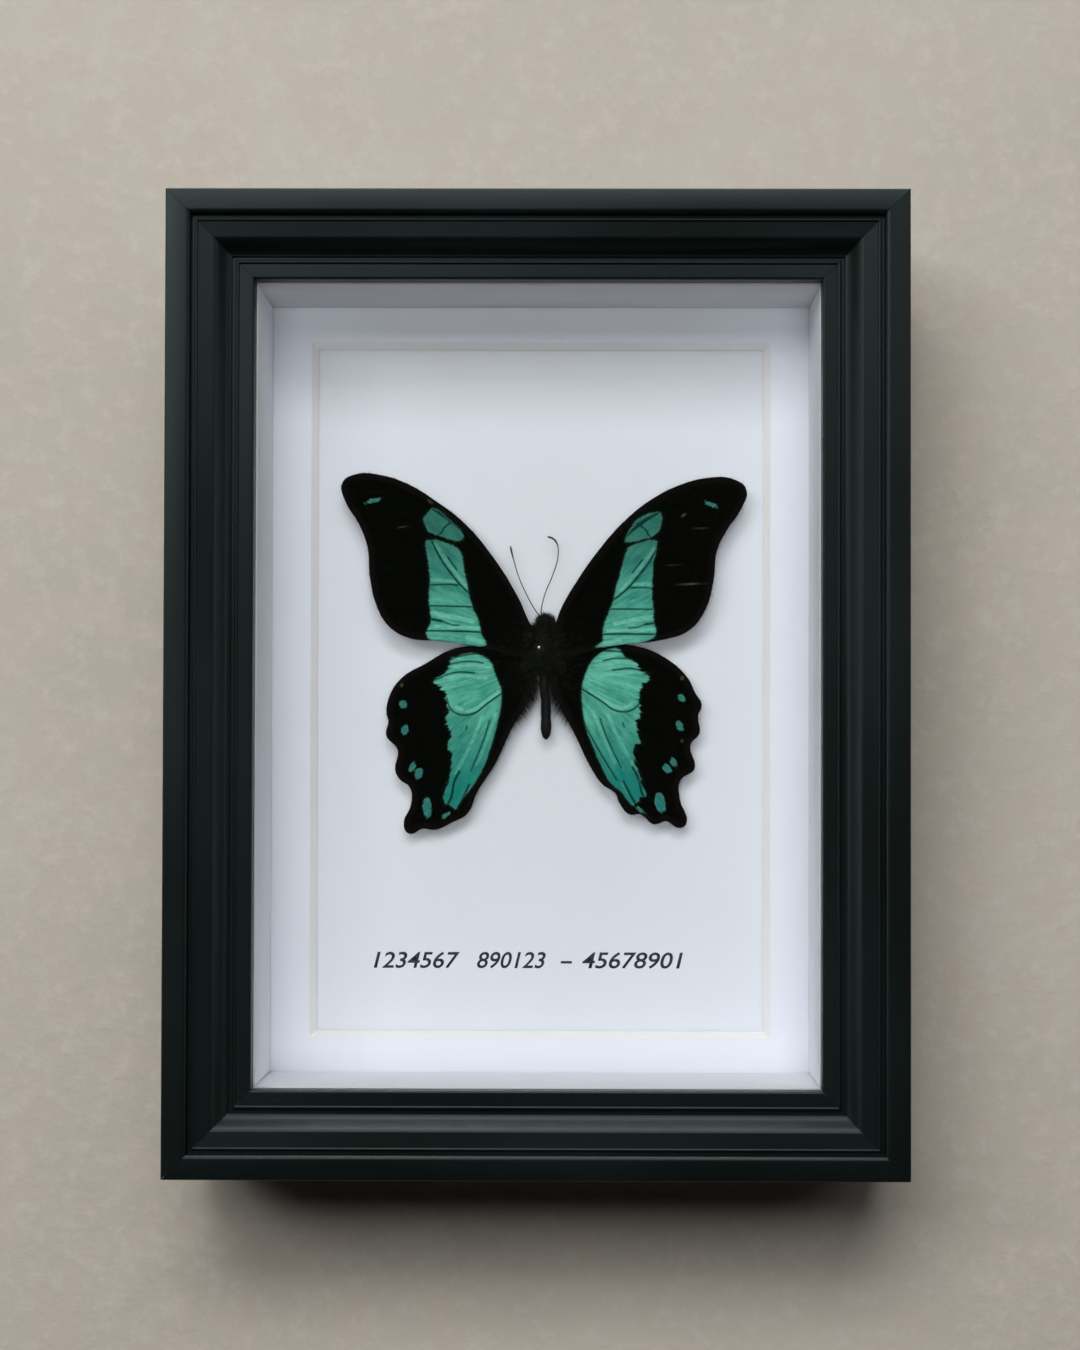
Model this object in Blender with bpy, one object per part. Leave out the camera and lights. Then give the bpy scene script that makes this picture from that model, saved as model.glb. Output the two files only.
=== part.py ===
"""A spread butterfly in a glazed wooden box frame, in its natural wall-hung position.

The frame stands in the XZ plane. Its front faces -Y and its back faces the wall at +Y. The origin is
the notch of the hanger that bears on the wall nail, on the plane of the frame's back.
Sizes below are in millimetres and are turned into metres where the shapes are made.
"""

import math

import bmesh
import bpy
from mathutils import Matrix, Vector

MM = 0.001
GAP = 0.3  # clearance between pieces that touch
WELD_DISTANCE = 1e-6  # metres: points closer than this are one
SHARP_ANGLE = 35  # degrees: steeper edges stay sharp on smooth pieces

# The sheets' standard opening and the moulding around it.
SIGHT_WIDTH = 120.0
SIGHT_HEIGHT = 171.0
FACE = 17.8  # the moulding's width, from its outer side to the sight edge
DEPTH = 40.0
RABBET = 5.0  # how far the lip covers the glass
OUTER_WIDTH = SIGHT_WIDTH + 2 * FACE
OUTER_HEIGHT = SIGHT_HEIGHT + 2 * FACE

# Heights above the hanger's notch.
HANG_DROP = 8.5  # from the frame's top edge down to the notch
TOP_Z = HANG_DROP
CENTRE_Z = TOP_Z - OUTER_HEIGHT / 2

# The moulding's section: distances in from the outer side, and depths behind the front of the rim.
RIM_WIDTH = 4.2
RIM_ROUND = 1.0
CORNER_ROUND = 0.4
QUIRK_WIDTH = 0.7
QUIRK_DEPTH = 1.7
BEAD_RADIUS = 0.35
BEAD_DEPTH = 1.5
FACE_END = 9.5  # where the flat front face turns into the ogee
FACE_FALL = 0.35
OGEE_END = 13.0
OGEE_FALL = 3.3
GROOVE_WIDTH = 0.9
GROOVE_DEPTH = 5.7
INNER_BEAD_RADIUS = 0.4
LIP_DEPTH = 5.1
EDGE_ROUND = 0.5
LIP_THICKNESS = 3.5

# The stack of sheets behind the lip, as front faces measured back from the front of the frame.
GLASS_THICKNESS = 2.0
SPACER_DEPTH = 20.6
SPACER_WIDTH = 4.4
MAT_THICKNESS = 1.4
CARD_THICKNESS = 0.5
BOARD_THICKNESS = 2.5
SHEET_PLAY = 0.6  # free room around the sheets in the rabbet
WINDOW_WIDTH = 102.8
WINDOW_HEIGHT = 155.6

# Framer's points and the hanger.
TAB_LENGTH = 15.0
TAB_WIDTH = 6.0
TAB_THICKNESS = 0.5
TAB_BITE = 4.0  # how far a tab goes into the rail
TAB_ROW = 45.0  # height of the side tabs above and below the middle
PLATE_THICKNESS = 0.7
PLATE_LENGTH = 42.0
PLATE_HEIGHT = 6.4  # above the notch
PLATE_RAISED = 1.1
PLATE_RAISED_HALF = 14.0
NOTCHES_PER_SIDE = 4
TOOTH_PITCH = 3.0
TOOTH_DEPTH = 1.6
NAIL_SPACING = 34.0
NAIL_RADIUS = 0.5
NAIL_LENGTH = 8.0
NAIL_HEAD_RADIUS = 1.4
NAIL_HEAD_THICKNESS = 0.6
NAIL_HEAD_OVERLAP = 0.2  # how far a nail's shank runs into its head
CUTTER_OVERRUN = 3.0  # how far a cutter runs past what it cuts

# The specimen, in front of the card.
WING_THICKNESS = 0.4
FOREWING_LIFT = 4.6  # from the card to the forewings' back
HINDWING_LIFT = 3.8
BODY_LIFT = 3.3  # from the card to the body's axis
PIN_RADIUS = 0.25
PIN_HOLE = 0.5
PIN_STAND = 0.6  # above the thorax
ANTENNA_RADIUS = 0.12

GREEN_BLACK = "1B2322"
CARD_WHITE = "E6E9EE"


# ---------------------------------------------------------------- materials


def linear(hex_colour):
    """An sRGB hex colour as linear RGBA."""
    channels = [int(hex_colour[i : i + 2], 16) / 255 for i in (0, 2, 4)]
    return [c / 12.92 if c <= 0.04045 else ((c + 0.055) / 1.055) ** 2.4 for c in channels] + [1.0]


def material(name, colour, roughness, metallic=0.0, transmission=0.0):
    made = bpy.data.materials.new(name)
    made.use_nodes = True
    shader = made.node_tree.nodes["Principled BSDF"]
    shader.inputs["Base Color"].default_value = linear(colour)
    shader.inputs["Roughness"].default_value = roughness
    shader.inputs["Metallic"].default_value = metallic
    shader.inputs["Transmission Weight"].default_value = transmission
    return made


# ---------------------------------------------------------------- making solids


def new_collection(name, helper=False):
    made = bpy.data.collections.new(name)
    made.hide_render = helper
    bpy.context.scene.collection.children.link(made)
    return made


def add_mesh(name, mesh_data, collection, finish=None):
    made = bpy.data.objects.new(name, mesh_data)
    collection.objects.link(made)
    if finish:
        made.data.materials.clear()
        made.data.materials.append(finish)
    return made


def outline_curve(name, points, thickness, smooth=None, corners=()):
    """A flat outline, filled and extruded. A smooth outline has a number of steps between its points."""
    data = bpy.data.curves.new(name, "CURVE")
    data.dimensions = "2D"
    data.fill_mode = "BOTH"
    data.extrude = thickness * MM / 2
    spline = data.splines.new("BEZIER" if smooth else "POLY")
    if smooth:
        data.resolution_u = smooth
        spline.bezier_points.add(len(points) - 1)
        for index, (knot, (x, z)) in enumerate(zip(spline.bezier_points, points)):
            knot.co = (x * MM, z * MM, 0)
            kind = "VECTOR" if index in corners else "AUTO"
            knot.handle_left_type = knot.handle_right_type = kind
    else:
        spline.points.add(len(points) - 1)
        for knot, (x, z) in zip(spline.points, points):
            knot.co = (x * MM, z * MM, 0, 1)
    spline.use_cyclic_u = True
    return data


def curve_to_mesh(data, matrix):
    """A welded mesh of a curve, with its place in the mesh."""
    holder = bpy.data.objects.new("holder", data)
    bpy.context.scene.collection.objects.link(holder)
    bpy.context.view_layer.update()
    graph = bpy.context.evaluated_depsgraph_get()
    made = bpy.data.meshes.new_from_object(holder.evaluated_get(graph))
    bpy.data.objects.remove(holder)
    bpy.data.curves.remove(data)
    made.transform(matrix)
    shape = bmesh.new()
    shape.from_mesh(made)
    bmesh.ops.remove_doubles(shape, verts=shape.verts, dist=WELD_DISTANCE)
    bmesh.ops.recalc_face_normals(shape, faces=shape.faces)
    shape.to_mesh(made)
    shape.free()
    return made


def plate(name, points, front, thickness, collection, finish, smooth=None, corners=()):
    """An upright flat piece: points are (x, z) from the frame's centre, front is its face's depth."""
    data = outline_curve(name, points, thickness, smooth, corners)
    middle = Vector((0, (front_y(front) + thickness / 2) * MM, CENTRE_Z * MM))
    upright = Matrix.Translation(middle) @ Matrix.Rotation(math.radians(90), 4, "X")
    return add_mesh(name, curve_to_mesh(data, upright), collection, finish)


def front_y(depth):
    """The Y of a face that lies this deep behind the frame's front."""
    return depth - DEPTH


def box_mesh(name, low, high):
    """A box between two corners in millimetres."""
    shape = bmesh.new()
    bmesh.ops.create_cube(shape, size=1)
    size = [(b - a) * MM for a, b in zip(low, high)]
    middle = [(a + b) / 2 * MM for a, b in zip(low, high)]
    bmesh.ops.transform(shape, matrix=Matrix.Diagonal((*size, 1)), verts=shape.verts)
    bmesh.ops.translate(shape, vec=middle, verts=shape.verts)
    made = bpy.data.meshes.new(name)
    shape.to_mesh(made)
    shape.free()
    return made


def rod_mesh(name, radius, start, length, sides=16):
    """A round rod that starts at a point and runs along +Y."""
    shape = bmesh.new()
    turn = Matrix.Rotation(math.radians(-90), 4, "X")
    place = Matrix.Translation(Vector(start) * MM) @ turn @ Matrix.Translation((0, 0, length * MM / 2))
    bmesh.ops.create_cone(
        shape,
        cap_ends=True,
        segments=sides,
        radius1=radius * MM,
        radius2=radius * MM,
        depth=length * MM,
        matrix=place,
    )
    made = bpy.data.meshes.new(name)
    shape.to_mesh(made)
    shape.free()
    return made


def combine(target, other, operation):
    """Adds a Boolean that cuts target with other, or joins other to it."""
    other.hide_render = True
    other.display_type = "WIRE"
    step = target.modifiers.new(operation.lower() + "_" + other.name, "BOOLEAN")
    step.operation = operation
    step.solver = "EXACT"
    step.object = other


# ---------------------------------------------------------------- the wooden frame


def arc(centre_in, centre_back, radius, start, end, steps):
    """Points on an arc of the section, from one angle to another, in degrees from the inward side."""
    points = []
    for step in range(steps + 1):
        angle = math.radians(start + (end - start) * step / steps)
        points.append((centre_in + radius * math.cos(angle), centre_back - radius * math.sin(angle)))
    return points


def ogee(start_in, start_back, end_in, fall, steps):
    """The S-shaped slope between the face and the groove."""
    points = []
    for step in range(steps + 1):
        share = step / steps
        eased = (1 - math.cos(math.pi * share)) / 2
        points.append((start_in + (end_in - start_in) * share, start_back + fall * eased))
    return points


def moulding_section():
    """The moulding's outline, as (in from the outer side, back from the front)."""
    quirk = RIM_WIDTH + RIM_ROUND
    bead = quirk + QUIRK_WIDTH
    face = bead + 2 * BEAD_RADIUS
    groove = OGEE_END
    inner_bead = groove + GROOVE_WIDTH
    shoulder = LIP_DEPTH + LIP_THICKNESS
    points = arc(CORNER_ROUND, CORNER_ROUND, CORNER_ROUND, 180, 90, 3)
    points += arc(RIM_WIDTH, RIM_ROUND, RIM_ROUND, 90, 0, 4)
    points += [(quirk, QUIRK_DEPTH), (bead, QUIRK_DEPTH)]
    points += arc(bead + BEAD_RADIUS, BEAD_DEPTH, BEAD_RADIUS, 180, 0, 5)
    points += ogee(FACE_END, BEAD_DEPTH + FACE_FALL, OGEE_END, OGEE_FALL, 9)
    points += [(groove, GROOVE_DEPTH), (inner_bead, GROOVE_DEPTH)]
    points += arc(inner_bead + INNER_BEAD_RADIUS, LIP_DEPTH, INNER_BEAD_RADIUS, 180, 0, 5)
    points += arc(FACE - EDGE_ROUND, LIP_DEPTH + EDGE_ROUND, EDGE_ROUND, 90, 0, 3)
    points += [(FACE, shoulder), (FACE - RABBET, shoulder), (FACE - RABBET, DEPTH), (0, DEPTH)]
    return points


def rail(name, length, turn, collection, finish):
    """A length of moulding with mitred ends, turned to its side of the frame about the frame's centre.

    It is made as the bottom rail: its outer side faces down, and the mitres run up and inwards.
    """
    half = length / 2
    reach = OUTER_HEIGHT / 2 if turn in (0, 180) else OUTER_WIDTH / 2
    data = outline_curve(name, moulding_section(), length)
    # The section's plane holds Z (inwards) and Y (backwards); its extrusion runs along X.
    stand = Matrix(((0, 0, 1, 0), (0, 1, 0, -DEPTH * MM), (1, 0, 0, -reach * MM), (0, 0, 0, 1)))
    made = curve_to_mesh(data, stand)
    shape = bmesh.new()
    shape.from_mesh(made)
    for side in (-1, 1):
        corner = Vector((side * (half - GAP / 2 * math.sqrt(2)), 0, -reach)) * MM
        outwards = Vector((side, 0, 1)).normalized()
        parts = list(shape.verts) + list(shape.edges) + list(shape.faces)
        cut = bmesh.ops.bisect_plane(
            shape, geom=parts, plane_co=corner, plane_no=outwards, clear_outer=True
        )
        rim = [item for item in cut["geom_cut"] if isinstance(item, bmesh.types.BMEdge)]
        bmesh.ops.holes_fill(shape, edges=rim, sides=0)
    bmesh.ops.recalc_face_normals(shape, faces=shape.faces)
    spin = Matrix.Translation((0, 0, CENTRE_Z * MM)) @ Matrix.Rotation(math.radians(turn), 4, "Y")
    bmesh.ops.transform(shape, matrix=spin, verts=shape.verts)
    shape.to_mesh(made)
    shape.free()
    return add_mesh(name, made, collection, finish)


def make_rails(collection):
    paint = material("rail_paint", GREEN_BLACK, 0.38)
    sides = {
        "rail_bottom": (OUTER_WIDTH, 0),
        "rail_left": (OUTER_HEIGHT, 90),
        "rail_top": (OUTER_WIDTH, 180),
        "rail_right": (OUTER_HEIGHT, 270),
    }
    return {name: rail(name, length, turn, collection, paint) for name, (length, turn) in sides.items()}


# ---------------------------------------------------------------- the sheets in the rabbet


def rectangle(width, height):
    across, up = width / 2, height / 2
    return [(-across, -up), (across, -up), (across, up), (-across, up)]


def sheet_size():
    return SIGHT_WIDTH + 2 * RABBET - 2 * SHEET_PLAY, SIGHT_HEIGHT + 2 * RABBET - 2 * SHEET_PLAY


def make_stack(collection, helpers):
    """Glass, spacers, mat, card and board. It returns the depths of the card's face and the
    board's back."""
    width, height = sheet_size()
    depth = LIP_DEPTH + LIP_THICKNESS + GAP
    plate("glass_pane", rectangle(width, height), depth, GLASS_THICKNESS, collection,
          material("float_glass", "F2F8F6", 0.02, transmission=1.0))
    depth += GLASS_THICKNESS + GAP
    make_spacers(depth, width, height, collection)
    depth += SPACER_DEPTH + GAP
    make_mat(depth, width, height, collection, helpers)
    depth += MAT_THICKNESS + GAP
    card_front = depth
    plate("mount_card", rectangle(width, height), depth, CARD_THICKNESS, collection,
          material("mount_card_paper", CARD_WHITE, 0.85))
    depth += CARD_THICKNESS + GAP
    plate("backing_board", rectangle(width, height), depth, BOARD_THICKNESS, collection,
          material("hardboard", "6B4A30", 0.8))
    return card_front, depth + BOARD_THICKNESS


def make_spacers(front, width, height, collection):
    """Four strips that line the case, the side ones standing between the top and bottom ones."""
    foam = material("foam_board", "E9ECEF", 0.8)
    inner_height = height - 2 * SPACER_WIDTH - 2 * GAP
    low_y, high_y = front_y(front), front_y(front) + SPACER_DEPTH
    for name, x, z, wide, tall in (
        ("spacer_bottom", 0, -(height - SPACER_WIDTH) / 2, width, SPACER_WIDTH),
        ("spacer_top", 0, (height - SPACER_WIDTH) / 2, width, SPACER_WIDTH),
        ("spacer_left", -(width - SPACER_WIDTH) / 2, 0, SPACER_WIDTH, inner_height),
        ("spacer_right", (width - SPACER_WIDTH) / 2, 0, SPACER_WIDTH, inner_height),
    ):
        low = (x - wide / 2, low_y, CENTRE_Z + z - tall / 2)
        high = (x + wide / 2, high_y, CENTRE_Z + z + tall / 2)
        add_mesh(name, box_mesh(name, low, high), collection, foam)


def make_mat(front, width, height, collection, helpers):
    """The mat board, with a window whose edges are cut at 45 degrees and widen to the front."""
    mat = plate("window_mat", rectangle(width, height), front, MAT_THICKNESS, collection,
                material("mat_board", CARD_WHITE, 0.85))
    shape = bmesh.new()
    corner_out = math.sqrt(0.5)
    bmesh.ops.create_cone(
        shape, cap_ends=True, segments=4, radius1=corner_out, radius2=corner_out, depth=1
    )
    bmesh.ops.rotate(shape, matrix=Matrix.Rotation(math.radians(45), 3, "Z"), verts=shape.verts)
    overrun = 1.0
    for corner in shape.verts:
        back = corner.co.z > 0
        spread = -2 * (MAT_THICKNESS + overrun) if back else 2 * overrun
        corner.co.x *= WINDOW_WIDTH + spread
        corner.co.y *= WINDOW_HEIGHT + spread
        corner.co.z = MAT_THICKNESS + overrun if back else -overrun
    # The window's local Z runs back into the frame.
    stand = Matrix(((1, 0, 0, 0), (0, 0, 1, front_y(front)), (0, -1, 0, CENTRE_Z), (0, 0, 0, 1)))
    bmesh.ops.transform(shape, matrix=Matrix.Scale(MM, 4) @ stand, verts=shape.verts)
    bmesh.ops.recalc_face_normals(shape, faces=shape.faces)
    data = bpy.data.meshes.new("window_cutter")
    shape.to_mesh(data)
    shape.free()
    combine(mat, add_mesh("window_cutter", data, helpers), "DIFFERENCE")


# ---------------------------------------------------------------- what holds the back and the wall nail


def make_tabs(rails, board_back, collection, helpers):
    """Steel points that lie on the board's back and run into slots in the rails."""
    steel = material("tab_steel", "8E8E8A", 0.4, metallic=1.0)
    front = front_y(board_back) + GAP
    reach = TAB_LENGTH - TAB_BITE
    side_x = SIGHT_WIDTH / 2 + RABBET
    end_z = SIGHT_HEIGHT / 2 + RABBET
    for name, rail_name, x, z in (
        ("tab_left_upper", "rail_left", -1, TAB_ROW),
        ("tab_left_lower", "rail_left", -1, -TAB_ROW),
        ("tab_right_upper", "rail_right", 1, TAB_ROW),
        ("tab_right_lower", "rail_right", 1, -TAB_ROW),
        ("tab_top", "rail_top", 0, 1),
        ("tab_bottom", "rail_bottom", 0, -1),
    ):
        if x:
            across = sorted((x * (side_x - reach), x * (side_x + TAB_BITE)))
            up = (z - TAB_WIDTH / 2, z + TAB_WIDTH / 2)
        else:
            across = (-TAB_WIDTH / 2, TAB_WIDTH / 2)
            up = sorted((z * (end_z - reach), z * (end_z + TAB_BITE)))
        low = Vector((across[0], front, CENTRE_Z + up[0]))
        high = Vector((across[1], front + TAB_THICKNESS, CENTRE_Z + up[1]))
        add_mesh(name, box_mesh(name, low, high), collection, steel)
        room = Vector((GAP, GAP, GAP))
        slot = add_mesh(name + "_slot", box_mesh(name + "_slot", low - room, high + room), helpers)
        combine(rails[rail_name], slot, "DIFFERENCE")


def hanger_outline():
    """The plate's outline seen from the back, with teeth along the middle of its lower edge."""
    half = PLATE_LENGTH / 2
    first_tooth = -(NOTCHES_PER_SIDE + 0.5) * TOOTH_PITCH
    points = [(-half, PLATE_HEIGHT), (-half, -TOOTH_DEPTH), (first_tooth, -TOOTH_DEPTH)]
    for notch in range(-NOTCHES_PER_SIDE, NOTCHES_PER_SIDE + 1):
        points += [(notch * TOOTH_PITCH, 0.0), ((notch + 0.5) * TOOTH_PITCH, -TOOTH_DEPTH)]
    return points + [(half, -TOOTH_DEPTH), (half, PLATE_HEIGHT)]


def make_hanger(top_rail, collection, helpers):
    steel = material("hanger_steel", "9A8A58", 0.35, metallic=1.0)
    data = outline_curve("hanger_plate", hanger_outline(), PLATE_THICKNESS)
    middle = Vector((0, (GAP + PLATE_THICKNESS / 2) * MM, 0))
    made = curve_to_mesh(data, Matrix.Translation(middle) @ Matrix.Rotation(math.radians(90), 4, "X"))
    shape = bmesh.new()
    shape.from_mesh(made)
    ramp_end = PLATE_RAISED_HALF + PLATE_RAISED
    for fold in (-ramp_end, -PLATE_RAISED_HALF, PLATE_RAISED_HALF, ramp_end):
        parts = list(shape.verts) + list(shape.edges) + list(shape.faces)
        bmesh.ops.bisect_plane(shape, geom=parts, plane_co=(fold * MM, 0, 0), plane_no=(1, 0, 0))
    for corner in shape.verts:
        if abs(corner.co.x) < (PLATE_RAISED_HALF + PLATE_RAISED / 2) * MM:
            corner.co.y += PLATE_RAISED * MM
    shape.to_mesh(made)
    shape.free()
    plate_object = add_mesh("hanger_plate", made, collection, steel)
    nail_z = PLATE_HEIGHT / 2 - TOOTH_DEPTH / 2
    head_y = GAP + PLATE_THICKNESS + GAP
    for name, side in (("hanger_nail_left", -1), ("hanger_nail_right", 1)):
        x = side * NAIL_SPACING / 2
        start = (x, -NAIL_LENGTH, nail_z)
        reach = NAIL_LENGTH + head_y + NAIL_HEAD_OVERLAP
        shank = add_mesh(name, rod_mesh(name, NAIL_RADIUS, start, reach), collection, steel)
        head = rod_mesh(name + "_head", NAIL_HEAD_RADIUS, (x, head_y, nail_z), NAIL_HEAD_THICKNESS)
        combine(shank, add_mesh(name + "_head", head, helpers), "UNION")
        room = (x, -NAIL_LENGTH - GAP, nail_z)
        hole = rod_mesh(name + "_hole", NAIL_RADIUS + GAP, room, NAIL_LENGTH + CUTTER_OVERRUN)
        cutter = add_mesh(name + "_hole", hole, helpers)
        combine(top_rail, cutter, "DIFFERENCE")
        combine(plate_object, cutter, "DIFFERENCE")


# ---------------------------------------------------------------- the butterfly

# Outlines as (x, z) in millimetres from the frame's centre, round each wing from its root along the
# front edge, the tip, the outer margin and the hind edge. The roots run into the thorax, which trims them.
FOREWING_LEFT = [
    (-2.0, 14.1), (-5.0, 20.5), (-10.6, 29.4), (-16.8, 36.7), (-23.1, 41.6), (-29.3, 45.4), (-36.0, 47.6),
    (-41.0, 47.7), (-44.1, 45.8), (-43.6, 42.0), (-40.4, 36.6), (-38.4, 31.3), (-37.9, 25.0), (-36.2, 18.0),
    (-33.3, 13.5), (-28.8, 11.1), (-23.0, 10.6), (-13.6, 9.3), (-4.2, 7.0), (-0.6, 7.0), (-0.2, 11.5),
]
FOREWING_RIGHT = [
    (3.4, 14.6), (4.5, 17.5), (7.7, 23.2), (12.6, 30.3), (18.6, 37.2), (24.8, 42.2), (31.1, 45.4),
    (37.3, 47.0), (42.9, 46.7), (45.8, 44.4), (44.6, 40.0), (41.6, 35.5), (39.3, 30.8), (38.5, 24.0),
    (36.6, 17.4), (33.1, 13.0), (27.3, 10.9), (20.2, 10.0), (15.5, 9.4), (5.6, 7.2), (2.0, 7.2), (1.6, 11.8),
]
HINDWING_LEFT = [
    (-3.4, 8.6), (-12.0, 9.5), (-19.2, 8.9), (-25.5, 5.6), (-31.1, 2.1), (-33.8, -2.4), (-34.2, -5.6),
    (-33.8, -7.2), (-34.2, -10.5), (-31.7, -13.6), (-32.2, -18.1), (-31.2, -20.2), (-29.0, -21.9),
    (-28.6, -25.4), (-30.3, -30.6), (-29.1, -32.3), (-26.0, -31.2), (-23.2, -31.4), (-19.4, -29.7),
    (-16.2, -27.9), (-13.9, -23.0), (-9.8, -16.5), (-6.2, -8.7), (-2.8, -2.6), (-1.2, 3.6), (-0.8, 7.4),
]
HINDWING_RIGHT = [
    (4.8, 8.9), (14.0, 9.9), (21.6, 9.5), (27.3, 7.3), (32.8, 2.6), (34.6, -0.9), (36.0, -3.4), (35.2, -6.0),
    (35.5, -9.8), (33.5, -12.4), (34.4, -17.7), (31.3, -20.3), (31.2, -24.6), (32.6, -30.0), (31.0, -30.9),
    (28.1, -29.4), (25.4, -30.1), (22.4, -27.9), (19.9, -27.9), (17.8, -25.5), (16.8, -23.2), (14.0, -21.3),
    (11.4, -17.6), (7.6, -9.8), (3.9, -2.4), (2.6, 3.6), (2.2, 7.6),
]
WINGS = {
    "forewing_left": (FOREWING_LEFT, FOREWING_LIFT),
    "forewing_right": (FOREWING_RIGHT, FOREWING_LIFT),
    "hindwing_left": (HINDWING_LEFT, HINDWING_LIFT),
    "hindwing_right": (HINDWING_RIGHT, HINDWING_LIFT),
}
WING_SMOOTHNESS = 4

# The body's rounded masses: middle (x, z), then half sizes across, front to back and along.
THORAX = ((0.7, 8.7), (3.4, 2.8, 6.1))
HEAD = ((1.2, 14.9), (1.8, 1.6, 1.9))
EYES = {"eye_left": ((-0.3, 15.2), (0.7, 0.8, 0.9)), "eye_right": ((2.7, 15.2), (0.7, 0.8, 0.9))}
WAIST = ((1.0, 0.8), (1.0, 1.2, 5.0))
ABDOMEN = ((1.35, -5.8), (1.3, 1.35, 5.8))
PIN_PLACE = (-0.2, 9.1)

# Each antenna from its socket to the tip of its club.
ANTENNA_LEFT = [(-1.0, 17.4), (-2.7, 20.3), (-4.7, 24.7), (-6.0, 28.9), (-6.7, 31.8)]
ANTENNA_RIGHT = [(0.2, 17.6), (1.1, 21.4), (2.6, 25.0), (3.8, 28.8), (3.9, 31.8), (3.0, 33.4), (1.6, 34.0)]
ANTENNA_CLUB = 2.0  # how much thicker the club is than the shaft


def make_wings(card_front, collection, helpers):
    """The four wings, each trimmed where its root meets the thorax."""
    scales = material("wing_scales", "0B0907", 0.6)
    place, halves = THORAX
    room = tuple(half + GAP for half in halves)
    trim = ellipsoid("root_trim", place, room, front_y(card_front) - BODY_LIFT, helpers)
    for name, (outline, lift) in WINGS.items():
        front = card_front - lift - WING_THICKNESS
        wing = plate(name, outline, front, WING_THICKNESS, collection, scales, smooth=WING_SMOOTHNESS)
        combine(wing, trim, "DIFFERENCE")


def ellipsoid(name, place, halves, axis_y, collection, finish=None):
    shape = bmesh.new()
    bmesh.ops.create_uvsphere(shape, u_segments=20, v_segments=12, radius=1)
    stretch = Matrix.Diagonal((*(half * MM for half in halves), 1))
    middle = Vector((place[0], axis_y, CENTRE_Z + place[1])) * MM
    bmesh.ops.transform(shape, matrix=Matrix.Translation(middle) @ stretch, verts=shape.verts)
    data = bpy.data.meshes.new(name)
    shape.to_mesh(data)
    shape.free()
    data.shade_smooth()
    return add_mesh(name, data, collection, finish)


def make_body(card_front, collection, helpers):
    """Head, eyes, thorax and abdomen joined in one solid, with a hole for the pin."""
    chitin = material("body_chitin", "16140F", 0.7)
    axis_y = front_y(card_front) - BODY_LIFT
    body = ellipsoid("butterfly_body", *THORAX, axis_y, collection, chitin)
    for name, (place, halves) in {"head": HEAD, "waist": WAIST, "abdomen": ABDOMEN, **EYES}.items():
        combine(body, ellipsoid(name, place, halves, axis_y, helpers), "UNION")
    x, z = PIN_PLACE
    reach = THORAX[1][1] + PIN_STAND
    hole_start = (x, axis_y - reach, CENTRE_Z + z)
    hole = add_mesh("pin_hole", rod_mesh("pin_hole", PIN_HOLE, hole_start, 2 * reach), helpers)
    combine(body, hole, "DIFFERENCE")
    pin_length = reach + BODY_LIFT - GAP
    pin = rod_mesh("insect_pin", PIN_RADIUS, hole_start, pin_length, sides=10)
    add_mesh("insect_pin", pin, collection, material("pin_steel", "B8B8B4", 0.25, metallic=1.0))


def make_antennae(card_front, collection):
    horn = material("antenna_horn", "15130F", 0.5)
    axis_y = front_y(card_front) - BODY_LIFT
    for name, route in (("antenna_left", ANTENNA_LEFT), ("antenna_right", ANTENNA_RIGHT)):
        data = bpy.data.curves.new(name, "CURVE")
        data.dimensions = "3D"
        data.resolution_u = 3
        data.bevel_depth = ANTENNA_RADIUS * MM
        data.bevel_resolution = 1
        data.use_fill_caps = True
        spline = data.splines.new("BEZIER")
        spline.bezier_points.add(len(route) - 1)
        for index, (knot, (x, z)) in enumerate(zip(spline.bezier_points, route)):
            knot.co = Vector((x, axis_y, CENTRE_Z + z)) * MM
            knot.handle_left_type = knot.handle_right_type = "AUTO"
            knot.radius = ANTENNA_CLUB if index == len(route) - 1 else 1.0
        made = bpy.data.objects.new(name, data)
        made.data.materials.append(horn)
        collection.objects.link(made)


# ---------------------------------------------------------------- the whole


def main():
    for leftover in list(bpy.data.objects):
        bpy.data.objects.remove(leftover)
    parts = new_collection("framed_butterfly")
    helpers = new_collection("cutters", helper=True)
    rails = make_rails(parts)
    card_front, board_back = make_stack(parts, helpers)
    make_tabs(rails, board_back, parts, helpers)
    make_hanger(rails["rail_top"], parts, helpers)
    make_wings(card_front, parts, helpers)
    make_body(card_front, parts, helpers)
    make_antennae(card_front, parts)
    for made in parts.objects:
        if made.type == "MESH" and made.name != "butterfly_body":
            made.data.set_sharp_from_angle(angle=math.radians(SHARP_ANGLE))


main()
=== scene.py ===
"""The looks of a spread butterfly in a glazed box frame, laid out as a Blender add-on.

Every piece is placed from the fixed frame, in metres: X to the right, +Y to the wall, +Z up.
Marking and vein points are (x, z) in millimetres from the middle of the frame.
"""

import math

import bmesh
import bpy
import numpy as np
from bpy.props import FloatProperty, FloatVectorProperty, PointerProperty, StringProperty
from mathutils import Euler, Matrix, Vector
from mathutils.geometry import delaunay_2d_cdt


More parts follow.
